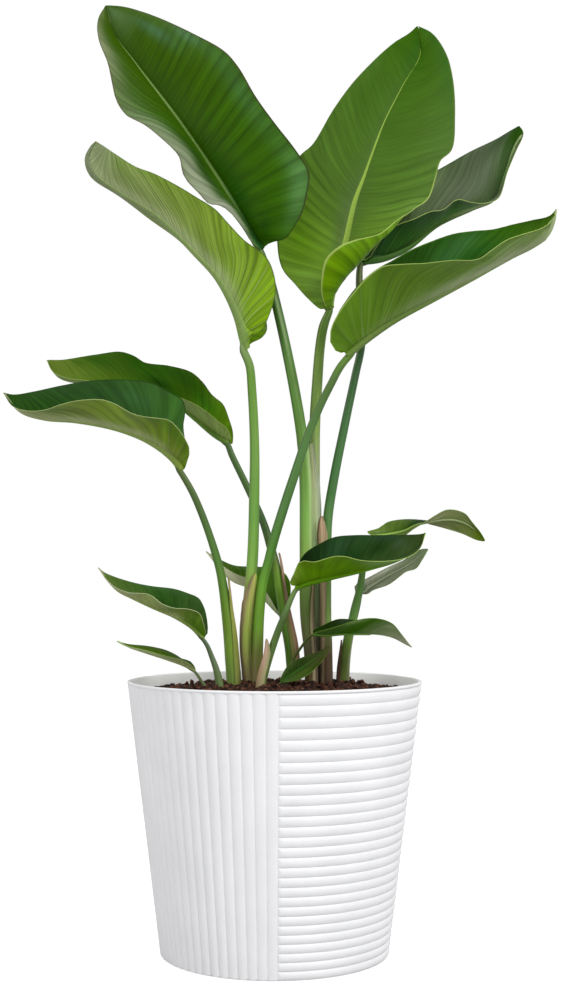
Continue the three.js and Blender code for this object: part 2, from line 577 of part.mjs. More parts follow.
// The reeded half, on -X: upright rounded reeds with a groove between each two.
function reededHalf() {
  const spots = [];
  for (let count = 0; count < 2 * REED_COUNT; count += 1) {
    for (const [across, inset] of REED_PROFILE) {
      spots.push({ angle: Math.PI / 2 + ((count + across) / REED_COUNT) * Math.PI, inset });
    }
  }
  const outline = (height, shrink) => (
    spots.map(({ angle, inset }) => onCircle(wallRadius(height) - inset - shrink, angle, height))
  );
  const hub = (height) => spots.map(({ angle }) => onCircle(1, angle, height));
  const top = POT_HEIGHT - LIP_HEIGHT;
  const whole = solidOf(skin([
    hub(0), outline(0, FOOT_ROUND / 2), outline(FOOT_ROUND, 0), outline(top, 0), hub(top),
  ]));
  return whole.trimByPlane([-1, 0, 0], 0);
}

// The ringed half, on +X: level rounded bands that get lower towards the narrow foot.
function ringedHalf() {
  const shrink = (FOOT_RADIUS / RIM_RADIUS) ** (1 / RING_COUNT);
  const tallest = ((POT_HEIGHT - LIP_HEIGHT) * (1 - shrink)) / (1 - shrink ** RING_COUNT);
  const profile = [];
  const put = (height, inset) => profile.unshift([wallRadius(height) - inset, height]);
  let top = POT_HEIGHT - LIP_HEIGHT;
  for (let band = 0; band < RING_COUNT; band += 1) {
    const tall = tallest * shrink ** band;
    put(top, GROOVE_DEPTH);
    put(top - RING_SHOULDER * tall, RING_INSET);
    put(top - (1 - RING_SHOULDER) * tall, RING_INSET);
    top -= tall;
  }
  put(0, GROOVE_DEPTH);
  return solidOf(turned(profile, RING_SIDES)).trimByPlane([1, 0, 0], 0);
}

function potGeometry() {
  const lipBottom = POT_HEIGHT - LIP_HEIGHT;
  const coreInset = (GROOVE_DEPTH + WALL) / 2;
  const core = turned([
    [wallRadius(0) - coreInset, 0],
    [wallRadius(lipBottom) - coreInset, lipBottom - LIP_OVERLAP],
    [wallRadius(lipBottom), lipBottom - LIP_OVERLAP],
    [wallRadius(POT_HEIGHT), POT_HEIGHT],
  ]);
  const hollow = turned([
    [wallRadius(FLOOR) - WALL, FLOOR],
    [wallRadius(POT_HEIGHT) - WALL, POT_HEIGHT],
    [wallRadius(POT_HEIGHT) - WALL, POT_HEIGHT + 1],
  ]);
  const outside = solidOf(core).add(reededHalf()).add(ringedHalf());
  return geometryOf(outside.subtract(solidOf(hollow)));
}

// Level of the loose soil: heaped towards the stems, with lumps.
function soilLevel(x, y) {
  const reach = Math.hypot(x, y) / wallRadius(SOIL_EDGE_LEVEL);
  const lumps = 1.5 * Math.sin(x / 9 + 0.8) * Math.cos(y / 8 - 0.4) + 0.9 * Math.sin(x / 5.3 - y / 6.1);
  return SOIL_EDGE_LEVEL + SOIL_HEAP * (1 - reach ** 2) + lumps * (1 - reach ** 6);
}

function soilGeometry() {
  const bottom = FLOOR + CLEARANCE;
  const sideGap = WALL + CLEARANCE + HOLLOW_FLATNESS;
  const topRadius = wallRadius(SOIL_EDGE_LEVEL) - sideGap;
  const ring = (radius, heightAt) => Array.from({ length: SOIL_SIDES }, (_, side) => {
    const point = onCircle(radius, (2 * Math.PI * side) / SOIL_SIDES, 0);
    return point.setZ(heightAt(point));
  });
  const rings = [ring(wallRadius(bottom) - sideGap, () => bottom)];
  for (let step = 0; step < SOIL_RINGS; step += 1) {
    rings.push(ring(topRadius * (1 - step / SOIL_RINGS), (point) => soilLevel(point.x, point.y)));
  }
  let soil = solidOf(skin(rings));
  for (const leaf of LEAVES) {
    soil = soil.subtract(solidOf(stalkGeometry(leaf, CLEARANCE)));
  }
  for (const sheath of SHEATHS) {
    soil = soil.subtract(solidOf(sheathGeometry(sheath, CLEARANCE)));
  }
  const [whole] = soil.decompose().sort((one, other) => other.volume() - one.volume());
  return geometryOf(whole);
}

const plant = new THREE.Group();
plant.add(namedMesh("pot", potGeometry(), COLOURS.pot, 0.55));
plant.add(namedMesh("soil", soilGeometry(), COLOURS.soil, 0.95));
for (const leaf of LEAVES) {
  plant.add(namedMesh("blade_" + leaf.name, bladeGeometry(leaf), COLOURS.blade, 0.45));
  plant.add(namedMesh("stalk_" + leaf.name, stalkGeometry(leaf), COLOURS.stalk, 0.5));
}
for (const sheath of SHEATHS) {
  plant.add(namedMesh(sheath.name, sheathGeometry(sheath), COLOURS.sheath, 0.8));
}

export default plant;
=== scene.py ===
# Looks of a potted bird of paradise: fifteen paddle leaves on sheathed stalks, in a white pot that is reeded
# on one half and ringed on the other.
# Numbers for shapes are in millimetres, as on the real plant, and become metres when a mesh is shaped.
import math

import bpy
import numpy as np
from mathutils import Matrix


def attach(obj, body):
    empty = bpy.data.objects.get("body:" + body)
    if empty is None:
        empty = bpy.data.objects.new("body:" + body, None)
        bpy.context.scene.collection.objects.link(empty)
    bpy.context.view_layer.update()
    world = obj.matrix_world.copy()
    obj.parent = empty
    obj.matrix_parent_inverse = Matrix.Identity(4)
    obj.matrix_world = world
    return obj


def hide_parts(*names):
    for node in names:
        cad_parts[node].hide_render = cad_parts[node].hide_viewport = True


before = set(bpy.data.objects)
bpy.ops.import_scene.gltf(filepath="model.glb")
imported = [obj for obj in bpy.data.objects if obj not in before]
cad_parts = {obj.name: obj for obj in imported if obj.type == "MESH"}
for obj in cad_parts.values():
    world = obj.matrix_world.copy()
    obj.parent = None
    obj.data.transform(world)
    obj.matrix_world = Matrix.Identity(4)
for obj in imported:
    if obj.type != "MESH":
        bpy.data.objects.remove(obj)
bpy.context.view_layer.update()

MM = 0.001
ROOT = "root"
HALF_TURN = math.pi
FULL_TURN = 2 * math.pi
ANY_PHASE = 6.28
MERGE_DISTANCE = 0.01

# Seeds of the random draws. Each leaf and each sheath adds its own number.
LEAF_SEED = 1
SHEATH_SEED = 100
SOIL_SEED = 7
CRUMB_SEED = 21

# Angles, in degrees, below which the faces of a piece run smoothly into each other.
BLADE_SMOOTH = 42
STALK_SMOOTH = 60
SHEATH_SMOOTH = 45
POT_SMOOTH = 50
SOIL_SMOOTH = 80

# Pot. Parts are shares of a reed's width or a ring's height, from groove to groove, and seam steps are angles
# from the seam between the two halves.
POT_HEIGHT = 266
RIM_RADIUS = 146
FOOT_RADIUS = 112.5
FOOT_HOLLOW = 1.5
WALL = 4
FLOOR_LEVEL = 6
LIP_HEIGHT = 3
GROOVE_DEPTH = 1.6
REED_COUNT = 38
REED_PARTS = (0, 0.03, 0.1, 0.22, 0.5, 0.78, 0.9, 0.97)
RING_COUNT = 28
RING_PARTS = (0, 0.03, 0.09, 0.2, 0.38, 0.62, 0.8, 0.91, 0.97)
RING_STEPS = 44
SEAM_STEPS = [0, 0.004, 0.010, 0.018, 0.03]
SEAM_REACH = 0.03
RINGS_FROM_SEAM = 0.06
TUB_INSIDE_ROWS = 6

# Soil
SOIL_EDGE_LEVEL = 251.5
SOIL_GAP = 0.3
SOIL_HEAP = 8
BROAD_LUMPS = 2.1
SMALL_LUMPS = 1.2
STEM_MOUND = 4.5
STEM_MOUND_REACH = 19
SOIL_ACROSS = 220
SOIL_RINGS = 84
CLOD_SIZES = (6.5, 5.2, 3.9, 3.1, 2.3, 1.8, 1.4)
CLOD_HEIGHT = 0.16
HOLLOW_DEPTH = 1.2
CRUMB_COUNT = 1900
CRUMB_LEAST = 0.7
CRUMB_RANGE = 2.9

# Blades. The rib's taper, the sweep of the veins and the like are powers. Fades are the shares of a blade's
# length between which its pleats and its rib die away.
BLADE_THICKNESS = 0.8
BLADE_END = 0.05
TIP_HALF_WIDTH = 0.9
RIB_STEPS = [0.3, 0.6, 0.85, 1]
RIB_TAPER = 0.9
RIB_TIP_HALF_WIDTH = 0.4
RIB_MOST_OF_HALF = 0.7
RIB_CHANNEL = 0.16
RIB_RIDGE = 0.5
RIB_RIDGE_TAPER = 2.2
RIB_FADE = (0.76, 0.93)
RIB_SHADOW_WIDTH = 2.2
VEIN_SWEEP = 1.2
PLEAT_ROWS = [0, 0.1, 0.25, 0.5, 0.75, 0.9]
# Painted light and shade across a pleat: its share from vein to vein, and how much lighter or darker it is
# painted.
PAINTED_PLEAT_SHADING = ((0, 0.1, 0.25, 0.5, 0.75, 0.9, 1), (-0.8, 0.2, 1, 0.5, -0.3, -0.9, -0.8))
PLEAT_ROUNDING = 2.5
PLEAT_FADE = (0.78, 0.94)
RIPPLE_HEIGHT = 0.9
LONG_RIPPLE = 21
SHORT_RIPPLE = 12
RIPPLE_FULL_WIDTH = 40
ROLL_ROUNDING = 3.5
ROLL_FULL_WIDTH = 45
MARGIN_THINNING = 0.42
MARGIN_LINE = 0.978
LAMINA_STEPS = 17
UPPER_ROUGHNESS = 0.4
UNDER_ROUGHNESS = 0.5

# Stalks and sheaths. A stalk runs on under its blade's rib: how far, and its share of the radius there.
RUN_ON = ((3, 0.86), (7, 0.5))
ROOT_LEVEL = 222
ROOT_TAPER = 0.85
STALK_SIDES = 22
STALK_STEP = 3.5
LEAST_STALK_ROWS = 8
STALK_LOW = 250
STALK_REACH = 450
STALK_CHANNEL = 0.22
STALK_CHANNEL_WIDTH = 0.42
STALK_GROOVES = 9
STALK_GROOVE = 0.012
STREAK_RADIUS = 6
FLANK_FADE = 0.06
SHEATH_THICKNESS = 0.5
SHEATH_GAP = 0.35
SHEATH_BURIED = 6
SHEATH_COLUMNS = 29
SHEATH_STEP = 3
LEAST_SHEATH_ROWS = 24
SHEATH_NARROWING = 0.9
SHEATH_CURL = 0.9
SHEATH_WRINKLE = 0.12
COARSE_TEAR = 0.05
FINE_TEAR = 0.04

# The camera stands where the photograph was taken. The leaves' outlines are written as that view: each point
# is (across, up, behind), where it shows in the upright plane through the pot's axis, and how far behind that
# plane it lies. A stalk's points run down from its blade, each with the stalk's width. right_fold is the
# middle line of a right half that folds over.
EYE = (-38, -1550, 377)
CAMERA_PITCH = 92.8
CAMERA_TURN = -1.6138
CAMERA_LENS = 56.85
SENSOR_WIDTH = 36

# Lights and floor, in metres and watts. A light has a name, a place, a size and a power, and looks at the
# plant's middle.
PLANT_MIDDLE = (0, 0, 0.45)
LIGHTS = [
    ("key", (1.4, -1.8, 1.9), 1.0, 42),
    ("fill", (-1.9, -1.6, 1.1), 1.6, 14),
    ("top", (0.2, 0.3, 2.3), 1.2, 9),
]
SURROUND_LIGHT = 0.78
FLOOR_RADIUS = 4
FLOOR_DROP = 0.0006

LEAVES = dict(
    tall_left=dict(
        rib=[(-14, 697, 12), (-30, 724, 18), (-60, 773, 32), (-100, 832, 46), (-140, 885, 55),
            (-162, 916, 58), (-171, 945, 56)],
        left=[(-24, 705, 4), (-33, 721, -14), (-46, 737, -28), (-57, 743, -34), (-66, 744, -37),
            (-76, 755, -38), (-90, 771, -36), (-96, 792, -30), (-110, 808, -24), (-130, 826, -14),
            (-150, 836, -6), (-160, 850, 2), (-168, 888, 22), (-177, 912, 38), (-178, 932, 50)],
        right=[(-5, 704, 8), (10, 709, 2), (20, 724, 0), (27, 738, 2), (32, 757, 6), (34, 777, 10),
            (20, 800, 14), (0, 826, 20), (-20, 854, 28), (-38, 885, 36), (-52, 901, 42), (-80, 917, 48),
            (-120, 935.5, 54), (-150, 944, 56)],
        stalk=[(-14, 697, 12, 7), (-4.6, 666, 12, 9), (1.8, 640, 12, 9.6), (10.8, 600, 11, 10.2),
            (20.6, 550, 10, 10.8), (27.5, 505, 10, 11.4), (30.5, 465, 10, 12.4), (31, 400, 10, 12.8),
            (31.5, 330, 10, 12.8), (35, 294, 9, 12.4), (36, 262, 8, 12.4)],
    ),
    bowed_left=dict(
        rib=[(-29, 597, -32), (-38, 630, -44), (-58, 668, -58), (-80, 692, -68), (-120, 731, -85),
            (-158, 755, -99), (-180, 772, -108), (-187, 790, -113), (-180, 806, -116)],
        left=[(-25, 607, -36), (-13, 616, -44), (-5, 632, -52), (1, 655, -60), (-2, 676, -66),
            (-10, 691, -72), (-30, 706, -80), (-48, 725, -86), (-60, 738, -90), (-80, 751, -96),
            (-100, 763, -101), (-122, 774, -106), (-140, 780.5, -109), (-160, 793, -112),
            (-175, 803, -114)],
        right=[(-24, 602, -22), (-13, 608, -4), (-8, 618, 14), (-14, 638, 26), (-34, 662, 24),
            (-60, 682, 16), (-92, 708, 0), (-124, 728, -22), (-154, 752, -48), (-184, 771, -78),
            (-190, 788, -98), (-185, 802, -112)],
        stalk=[(-29, 597, -32, 8), (-25.4, 580, -30, 8.4), (-22.9, 555, -26, 8.8), (-20.3, 500, -20, 9.5),
            (-20.7, 440, -16, 10.6), (-21.4, 405, -14, 10.9), (-23, 375, -11, 11.3), (-27, 330, -8, 11.8),
            (-28, 300, -7, 12.4), (-25, 262, -7, 12.4)],
    ),
    tall_centre=dict(
        rib=[(53, 637, 24), (60, 670, 30), (70, 706, 36), (80, 748, 42), (90, 773, 46), (110, 826, 54),
            (130, 866, 60), (148, 899, 62), (145, 927, 60)],
        left=[(46, 637, 24), (36, 645, 28), (20, 663, 36), (7, 679, 42), (2, 706, 48), (4, 740, 54),
            (13, 772, 58), (25, 794, 60), (38, 806, 60), (60, 843, 62), (80, 871, 63), (100, 892, 64),
            (122, 911, 63), (138, 921, 62)],
        right=[(51, 640, 14), (47, 652, 2), (47, 670, -8), (51, 688, -14), (62, 699, -14), (78, 706, -8),
            (105, 713.5, 4), (122, 727, 16), (140, 740, 28), (155, 750, 36), (163, 772, 42), (168, 790, 46),
            (180, 802, 50), (183, 835, 54), (181, 873, 57), (174, 900, 59), (160, 920, 60)],
        right_fold=[(56, 640, 20), (61, 652, 10), (71, 667, 4), (86, 683, 4), (102, 701, 12),
            (120, 728, 26), (126, 750, 38), (132, 780, 46), (142, 820, 52), (152, 860, 57), (156, 890, 60),
            (147, 924, 60)],
        stalk=[(53, 637, 24, 7.4), (49, 620, 22, 9.6), (45.5, 600, 21, 10), (42.3, 560, 21, 10.8),
            (40, 520, 22, 11.2), (39.5, 480, 23, 11.4), (39.5, 430, 23, 12), (40, 350, 24, 12),
            (42, 300, 26, 12), (41, 262, 27, 12)],
    ),
    upper_right=dict(
        rib=[(87, 686, 46), (110, 689, 52), (135, 700, 58), (165, 723, 64), (200, 739, 68), (222, 749, 68),
            (232, 768, 66), (239, 795, 64), (248, 825, 62)],
        left=[(84, 692, 52), (86, 715, 66), (100, 745, 80), (130, 766, 90), (166, 781, 96),
            (200, 799.5, 94), (225, 812, 84), (240, 821, 74)],
        right=[(94, 688, 42), (106, 706, 36), (122, 722, 32), (140, 729, 28), (158, 738, 25),
            (169, 739.5, 24), (184, 750, 22), (200, 746.5, 26), (214, 746, 34), (227, 752, 46),
            (236, 778, 54), (245, 803, 56), (252, 818, 58)],
        stalk=[(87, 686, 46, 6.4), (85, 664, 44, 7.6), (88, 632, 40, 8), (87, 600, 34, 8),
            (80.7, 570, 28, 8.2), (70, 520, 22, 8.8), (58.9, 465, 18, 9.4), (52.8, 425, 16, 9.8),
            (51.5, 380, 15, 10.2), (51, 330, 15, 10.8), (51.5, 300, 15, 11.6), (52, 262, 15, 11.8)],
    ),
    boat_right=dict(
        rib=[(72, 592, -34), (90, 606, -40), (120, 626, -50), (160, 647, -62), (200, 668, -74),
            (240, 690, -84), (262, 701, -90), (277, 712, -93), (284, 727, -95), (286, 740, -95)],
        left=[(67, 600, -28), (61, 626, -14), (70, 645, -6), (82, 661, -1), (100, 676, 0), (120, 687, -2),
            (140, 699, -7), (160, 708, -14), (180, 715, -24), (200, 718, -34), (220, 720, -46),
            (240, 725, -58), (260, 729, -72), (278, 733, -87)],
        right=[(64, 593, -42), (56, 602, -52), (56, 616, -62), (64, 633, -74), (78, 652, -84),
            (93, 670, -93), (108, 681, -100), (130, 684, -109), (150, 685, -116), (180, 689, -124),
            (205, 690, -128), (220, 699, -128), (235, 708, -125), (252, 714, -119), (270, 721, -108),
            (280, 729, -99)],
        stalk=[(72, 592, -34, 7.6), (65, 578, -35, 7.9), (56.5, 562, -36, 8), (46, 541, -36, 8.2),
            (33, 510, -35, 8.8), (19.5, 470, -32, 9.4), (6.5, 430, -27, 9.6), (-1, 405, -23, 9.6),
            (-6, 385, -20, 9.3), (-12, 362, -17, 9.6), (-15.5, 330, -16, 10), (-17, 295, -18, 10.8),
            (-18, 262, -21, 11)],
    ),
    side_left_front=dict(
        rib=[(-92, 475, -24), (-100, 485, -27), (-112, 495, -31), (-130, 505.5, -36), (-150, 513, -40),
            (-170, 518, -44), (-200, 522.5, -50), (-230, 524.5, -56), (-254, 532, -60), (-271, 551, -62)],
        left=[(-88, 482, -33), (-85, 494, -44), (-89, 505, -55), (-97, 517, -66), (-106, 525, -74),
            (-125, 528.5, -82), (-142, 532.5, -87), (-158, 541, -90), (-172, 545, -91), (-198, 543, -92),
            (-214, 539.5, -91), (-230, 535, -87), (-248, 535, -79), (-262, 540, -69)],
        right=[(-88, 482, -18), (-89, 500, -12), (-91, 520, -6), (-89, 534, -2), (-92, 545, 0),
            (-104, 552, 0), (-125, 562, -4), (-155, 565.5, -13), (-185, 564.5, -24), (-213, 559.5, -36),
            (-240, 553.5, -48), (-262, 550, -58)],
        stalk=[(-92, 475, -24, 6.6), (-82.8, 454, -23, 7.2), (-74, 434.5, -21, 7.6), (-62.9, 404, -19, 8),
            (-54.5, 375, -17, 8.8), (-50.8, 355, -16, 9.6), (-48, 335, -15, 10.8), (-45, 312, -15, 12.6),
            (-43, 290, -15, 13.6), (-41, 262, -15, 14)],
    ),
    side_left_back=dict(
        rib=[(-46, 503, 36), (-60, 511, 40), (-80, 527, 46), (-92, 536, 50), (-120, 548, 56),
            (-160, 557, 62), (-195, 561, 65), (-216, 567, 65), (-228, 584, 64)],
        left=[(-44, 506, 28), (-47, 515, 22), (-56, 523, 19), (-75, 538, 17), (-92, 546, 17),
            (-120, 553, 18), (-150, 560, 22), (-180, 563, 30), (-206, 566, 42), (-222, 574, 56)],
        right=[(-43, 500, 42), (-42, 512, 50), (-46, 526, 60), (-52, 541, 70), (-62, 550, 78),
            (-72, 564, 84), (-84, 574, 88), (-105, 579, 92), (-130, 582, 95), (-141, 589, 96),
            (-155, 593.5, 96), (-180, 590.5, 92), (-210, 585.5, 78)],
        stalk=[(-46, 503, 36, 6.4), (-43, 490, 34, 7), (-29, 461, 28, 7.4), (-12, 424, 18, 8),
            (-4, 398, 12, 8.8), (1, 379, 9, 9.2), (4, 362, 7, 9.6), (8, 340, 6, 11), (12, 320, 5, 12.4),
            (16, 300, 4, 13.2), (18, 280, 4, 13.4), (19, 262, 4, 13.4)],
    ),
    low_right=dict(
        rib=[(21, 358, -42), (35, 362.5, -44), (58, 367.5, -46), (80, 372, -47), (100, 377, -48),
            (118, 382, -48), (135, 390, -47), (146, 400, -46), (151.5, 412, -45)],
        left=[(18, 364, -36), (24, 383, -28), (31, 393, -24), (45, 402, -20), (60, 408.5, -18),
            (80, 410.5, -18), (100, 410.5, -21), (130, 410, -31), (147, 411, -41)],
        right=[(15, 361, -49), (19, 372, -60), (25, 384, -68), (40, 384, -77), (50, 387, -81),
            (60, 389.5, -84), (70, 389, -85), (85, 384.5, -86), (100, 383, -85), (118, 384, -80),
            (132, 388, -70), (144, 397, -58)],
        stalk=[(21, 358, -42, 5), (15.5, 345, -42, 5.6), (10, 331, -43, 6.5), (4.5, 318, -44, 7),
            (-4, 294, -45, 7.6), (-11.5, 270, -46, 9), (-13.5, 258, -46, 9.4)],
    ),
    low_left=dict(
        rib=[(-70.5, 308, -34), (-75, 312, -36), (-82, 318.5, -38), (-100, 329, -42), (-120, 337, -46),
            (-140, 346, -50), (-156, 354, -52), (-166, 364, -53), (-176, 377, -54)],
        left=[(-69, 314, -43), (-71, 323, -54), (-75, 332, -64), (-86, 336, -71), (-100, 337, -76),
            (-111, 341, -78), (-125, 351, -78), (-145, 353, -75), (-158, 358, -67), (-168, 367, -59)],
        right=[(-67, 312, -26), (-67, 322, -20), (-70, 337, -13), (-76, 347.5, -10), (-85, 351.5, -11),
            (-100, 356.5, -17), (-120, 359.5, -26), (-140, 363.5, -36), (-160, 369, -46), (-170, 373, -51)],
        stalk=[(-70.5, 308, -34, 4.2), (-67, 300, -34, 4.6), (-62.5, 289, -34, 5.4), (-58.5, 278, -35, 6.4),
            (-56, 268, -35, 7.4), (-54, 257, -35, 8)],
    ),
    small_left=dict(
        rib=[(-79, 275.5, -40), (-90, 281, -42), (-110, 287.5, -44), (-130, 293.5, -46), (-145, 298.5, -47),
            (-157, 304, -48)],
        left=[(-80, 278.5, -47), (-86, 283, -53), (-96, 287, -57), (-110, 290, -58), (-127, 295, -56),
            (-146, 300, -51)],
        right=[(-80, 279.5, -35), (-85, 285, -31), (-92, 287, -29), (-98, 291, -29), (-108, 296, -30),
            (-125, 300, -34), (-146, 301.8, -42)],
        stalk=[(-79, 275.5, -40, 2.8), (-76, 270, -40, 3), (-72, 264, -39, 3.2), (-68, 257, -38, 3.6)],
    ),
    hidden_back=dict(
        rib=[(8, 330, 34), (1, 335, 35), (-9, 345, 37), (-27, 358, 40), (-40, 363, 42), (-51, 371, 43),
            (-69, 393, 42)],
        left=[(3, 334, 28), (-7, 351, 22), (-20, 364, 20), (-38, 371, 22), (-50, 379, 30), (-60, 388, 38)],
        right=[(13, 342, 40), (16, 356, 46), (12, 370, 52), (0, 378, 54), (-20, 379, 54), (-40, 379.5, 52),
            (-52, 384, 48), (-61, 389, 45)],
        stalk=[(8, 330, 34, 3.6), (12, 316, 32, 4.4), (15, 300, 30, 5), (17, 280, 29, 5.6),
            (18, 262, 28, 6)],
    ),
    twisted_right=dict(
        rib=[(96, 409, 22), (115, 411, 22), (130, 414, 24), (142, 420, 27), (152, 422.5, 29),
            (165, 424.5, 31), (178, 425, 33), (190, 422, 35), (201, 415, 37), (210, 404, 38)],
        left=[(92, 413, 28), (104, 417, 33), (113, 423, 37), (132, 426, 40), (144, 425, 42), (154, 421, 42),
            (170, 416.5, 40), (188, 411, 39), (202, 405, 38.5)],
        right=[(99, 405, 14), (115, 404, 8), (128, 408, 7), (139, 415.5, 9), (150, 422, 14), (160, 429, 20),
            (173, 435.5, 25), (190, 432, 29), (197, 424, 32), (207, 411, 36)],
        stalk=[(96, 409, 22, 4.4), (92, 398, 24, 5), (90, 387, 26, 5.6), (87.5, 373, 28, 6.6),
            (84.5, 355, 29, 7.6), (80, 338, 28, 8), (76.5, 322, 27, 8.6), (72.5, 306, 26, 9),
            (68.5, 284, 25, 9.4), (66.5, 262, 25, 9.8)],
    ),
    turned_right=dict(
        rib=[(87, 352, 40), (100, 361, 44), (115, 370, 46), (130, 378, 46), (143, 387, 44), (153, 396, 42)],
        left=[(92, 351, 37), (98, 355, 36), (113, 360, 34), (122, 366, 34), (131, 373, 35),
            (141, 376.5, 36), (147, 385, 38)],
        right=[(80, 353, 45), (80, 360, 48), (92, 367, 51), (113, 378, 54), (128, 384.5, 54),
            (138, 391, 52), (146, 395.5, 47)],
        stalk=[(87, 352, 40, 3.4), (83.5, 339, 40, 3.8), (80, 325, 39, 4.2), (76, 308, 38, 4.6),
            (73, 288, 37, 5), (71.5, 262, 37, 5.4)],
    ),
    arched_right=dict(
        rib=[(38, 311.5, -24), (50, 310, -26), (65, 311, -28), (85, 311, -30), (105, 310, -31),
            (118, 307, -31), (128, 302, -31), (136, 297.5, -30)],
        left=[(38, 315, -19), (48, 320, -11), (56, 324, -8), (64, 326.5, -7), (85, 325.5, -9),
            (103, 325, -13), (117, 318.5, -19), (128, 306.5, -26)],
        right=[(42, 313, -31), (52, 316, -39), (65, 320, -44), (76, 324, -46), (90, 327, -47),
            (104, 326.5, -46), (117, 321.5, -43), (126, 311, -38)],
        stalk=[(38, 311.5, -24, 2.4), (32, 306, -21, 2.6), (26, 298, -17, 2.8), (20, 289, -13, 3),
            (15, 277, -11, 3.2), (12, 262, -11, 3.6)],
    ),
    new_shoot=dict(
        rib=[(6, 264, -34), (20, 273, -34), (35, 283, -30), (45, 291, -26), (54, 299, -22)],
        left=[(6, 268, -29), (12, 279, -23), (20, 285, -20), (30, 289, -18), (42, 293, -18),
            (50, 297, -20)],
        right=[(11, 263.5, -41), (20, 265, -44), (30, 269, -44), (40, 277, -40), (48, 286, -33),
            (53, 294, -26)],
        stalk=[(6, 264, -34, 4.6), (3, 257, -34, 5.2)],
    ),
)

# Dry sheaths, by the stalk that each hugs: its top, the way it faces at the soil and at its top (degrees from
# the front towards +X), half the angle that it covers at the soil, how long it stays broad, how far its top
# flares out, and its colours at the soil, in the middle, at its torn top, and along its left and right edge.
SHEATHS = dict(
    bowed_left=dict(top=372, facing=(0, 28), half_span=104, broad=4.6, flare=1.6,
        browns=("a4886c", "98b04a", "c4c46c", "8c7460", "a0cc48")),
    side_left_front=dict(top=366, facing=(62, 62), half_span=54, broad=2.0, flare=1.6,
        browns=("7c7850", "98a048", "b8b468", "8c9c44", "b08868")),
    side_left_back=dict(top=390, facing=(50, 62), half_span=62, broad=2.4, flare=1.6,
        browns=("7a5c44", "a07c64", "b09078", "747c34", "bc9484")),
    upper_right=dict(top=428, facing=(-92, -36), half_span=56, broad=11.0, flare=6.0,
        browns=("5c4c38", "948860", "dcb898", "6c5040", "b8a080")),
    tall_centre=dict(top=503, facing=(30, -24), half_span=96, broad=4.5, flare=1.6,
        browns=("8c786c", "b0d090", "c4c498", "a8d080", "a0ac92")),
    tall_left=dict(top=366, facing=(54, 60), half_span=44, broad=3.0, flare=1.6,
        browns=("5c4838", "80705c", "a8946c", "b8ac80", "5c4840")),
    low_right=dict(top=306, facing=(-36, -66), half_span=74, broad=7.0, flare=4.0,
        browns=("8c8858", "b09474", "e0b8a4", "94644c", "a8a878")),
    twisted_right=dict(top=303, facing=(-62, -62), half_span=50, broad=1.8, flare=1.6,
        browns=("6c4840", "7a5a48", "9c8464", "5c3c34", "7c6c4c")),
)

# How a leaf looks unless its own entry says otherwise. upper and under are each face's greens at the base,
# middle and tip; an underside's bright yellow-green is partly its own colour and partly painted light that
# shines through the blade. A patch is a soft area of another tone, partly the leaf's own colour and partly
# painted sheen, painted highlight and painted shade: its share of the length and of the half-width (left
# negative), its reach in both, its colour and its strength. rib is the rib's colour on the upper and the
# lower face, rib_foot, if any, its colour on the upper face near the base, and rib_width how broad it is.
# A vein has a colour and a strength. lean is how far the veins run towards the tip on the left and right
# halves, belly how much each half bulges, roll how far its margin turns under in millimetres, pleat and
# spacing how high and how wide its pleats are in millimetres, relief how strongly the painted light and
# painted shade on its pleats show, calm where the relief and the streaks fade towards the tip, streaks how
# much light its dark streaks keep, and gloss how much its upper face shines. edge is the colour of its left
# and right margin, and edge_tip, if any, theirs beyond the middle.
PLAIN_LEAF = dict(
    rib=("7fa83c", "86a24c"), rib_width=1.0, rib_foot=None, lean=(1.0, 1.0), belly=(0.03, 0.03),
    roll=(1.0, 1.0), pleat=0.28, spacing=8.5, relief=0.14, calm=(0.8, 0.95), streaks=0.84, gloss=0.04,
    upper_vein=("4f7c22", 0.25), under_vein=("a3b878", 0.4), edge=("6c8c30", "6c8c30"), edge_tip=None,
    upper_tint_and_painted_light_spots=[], under_tint_and_painted_light_spots=[])

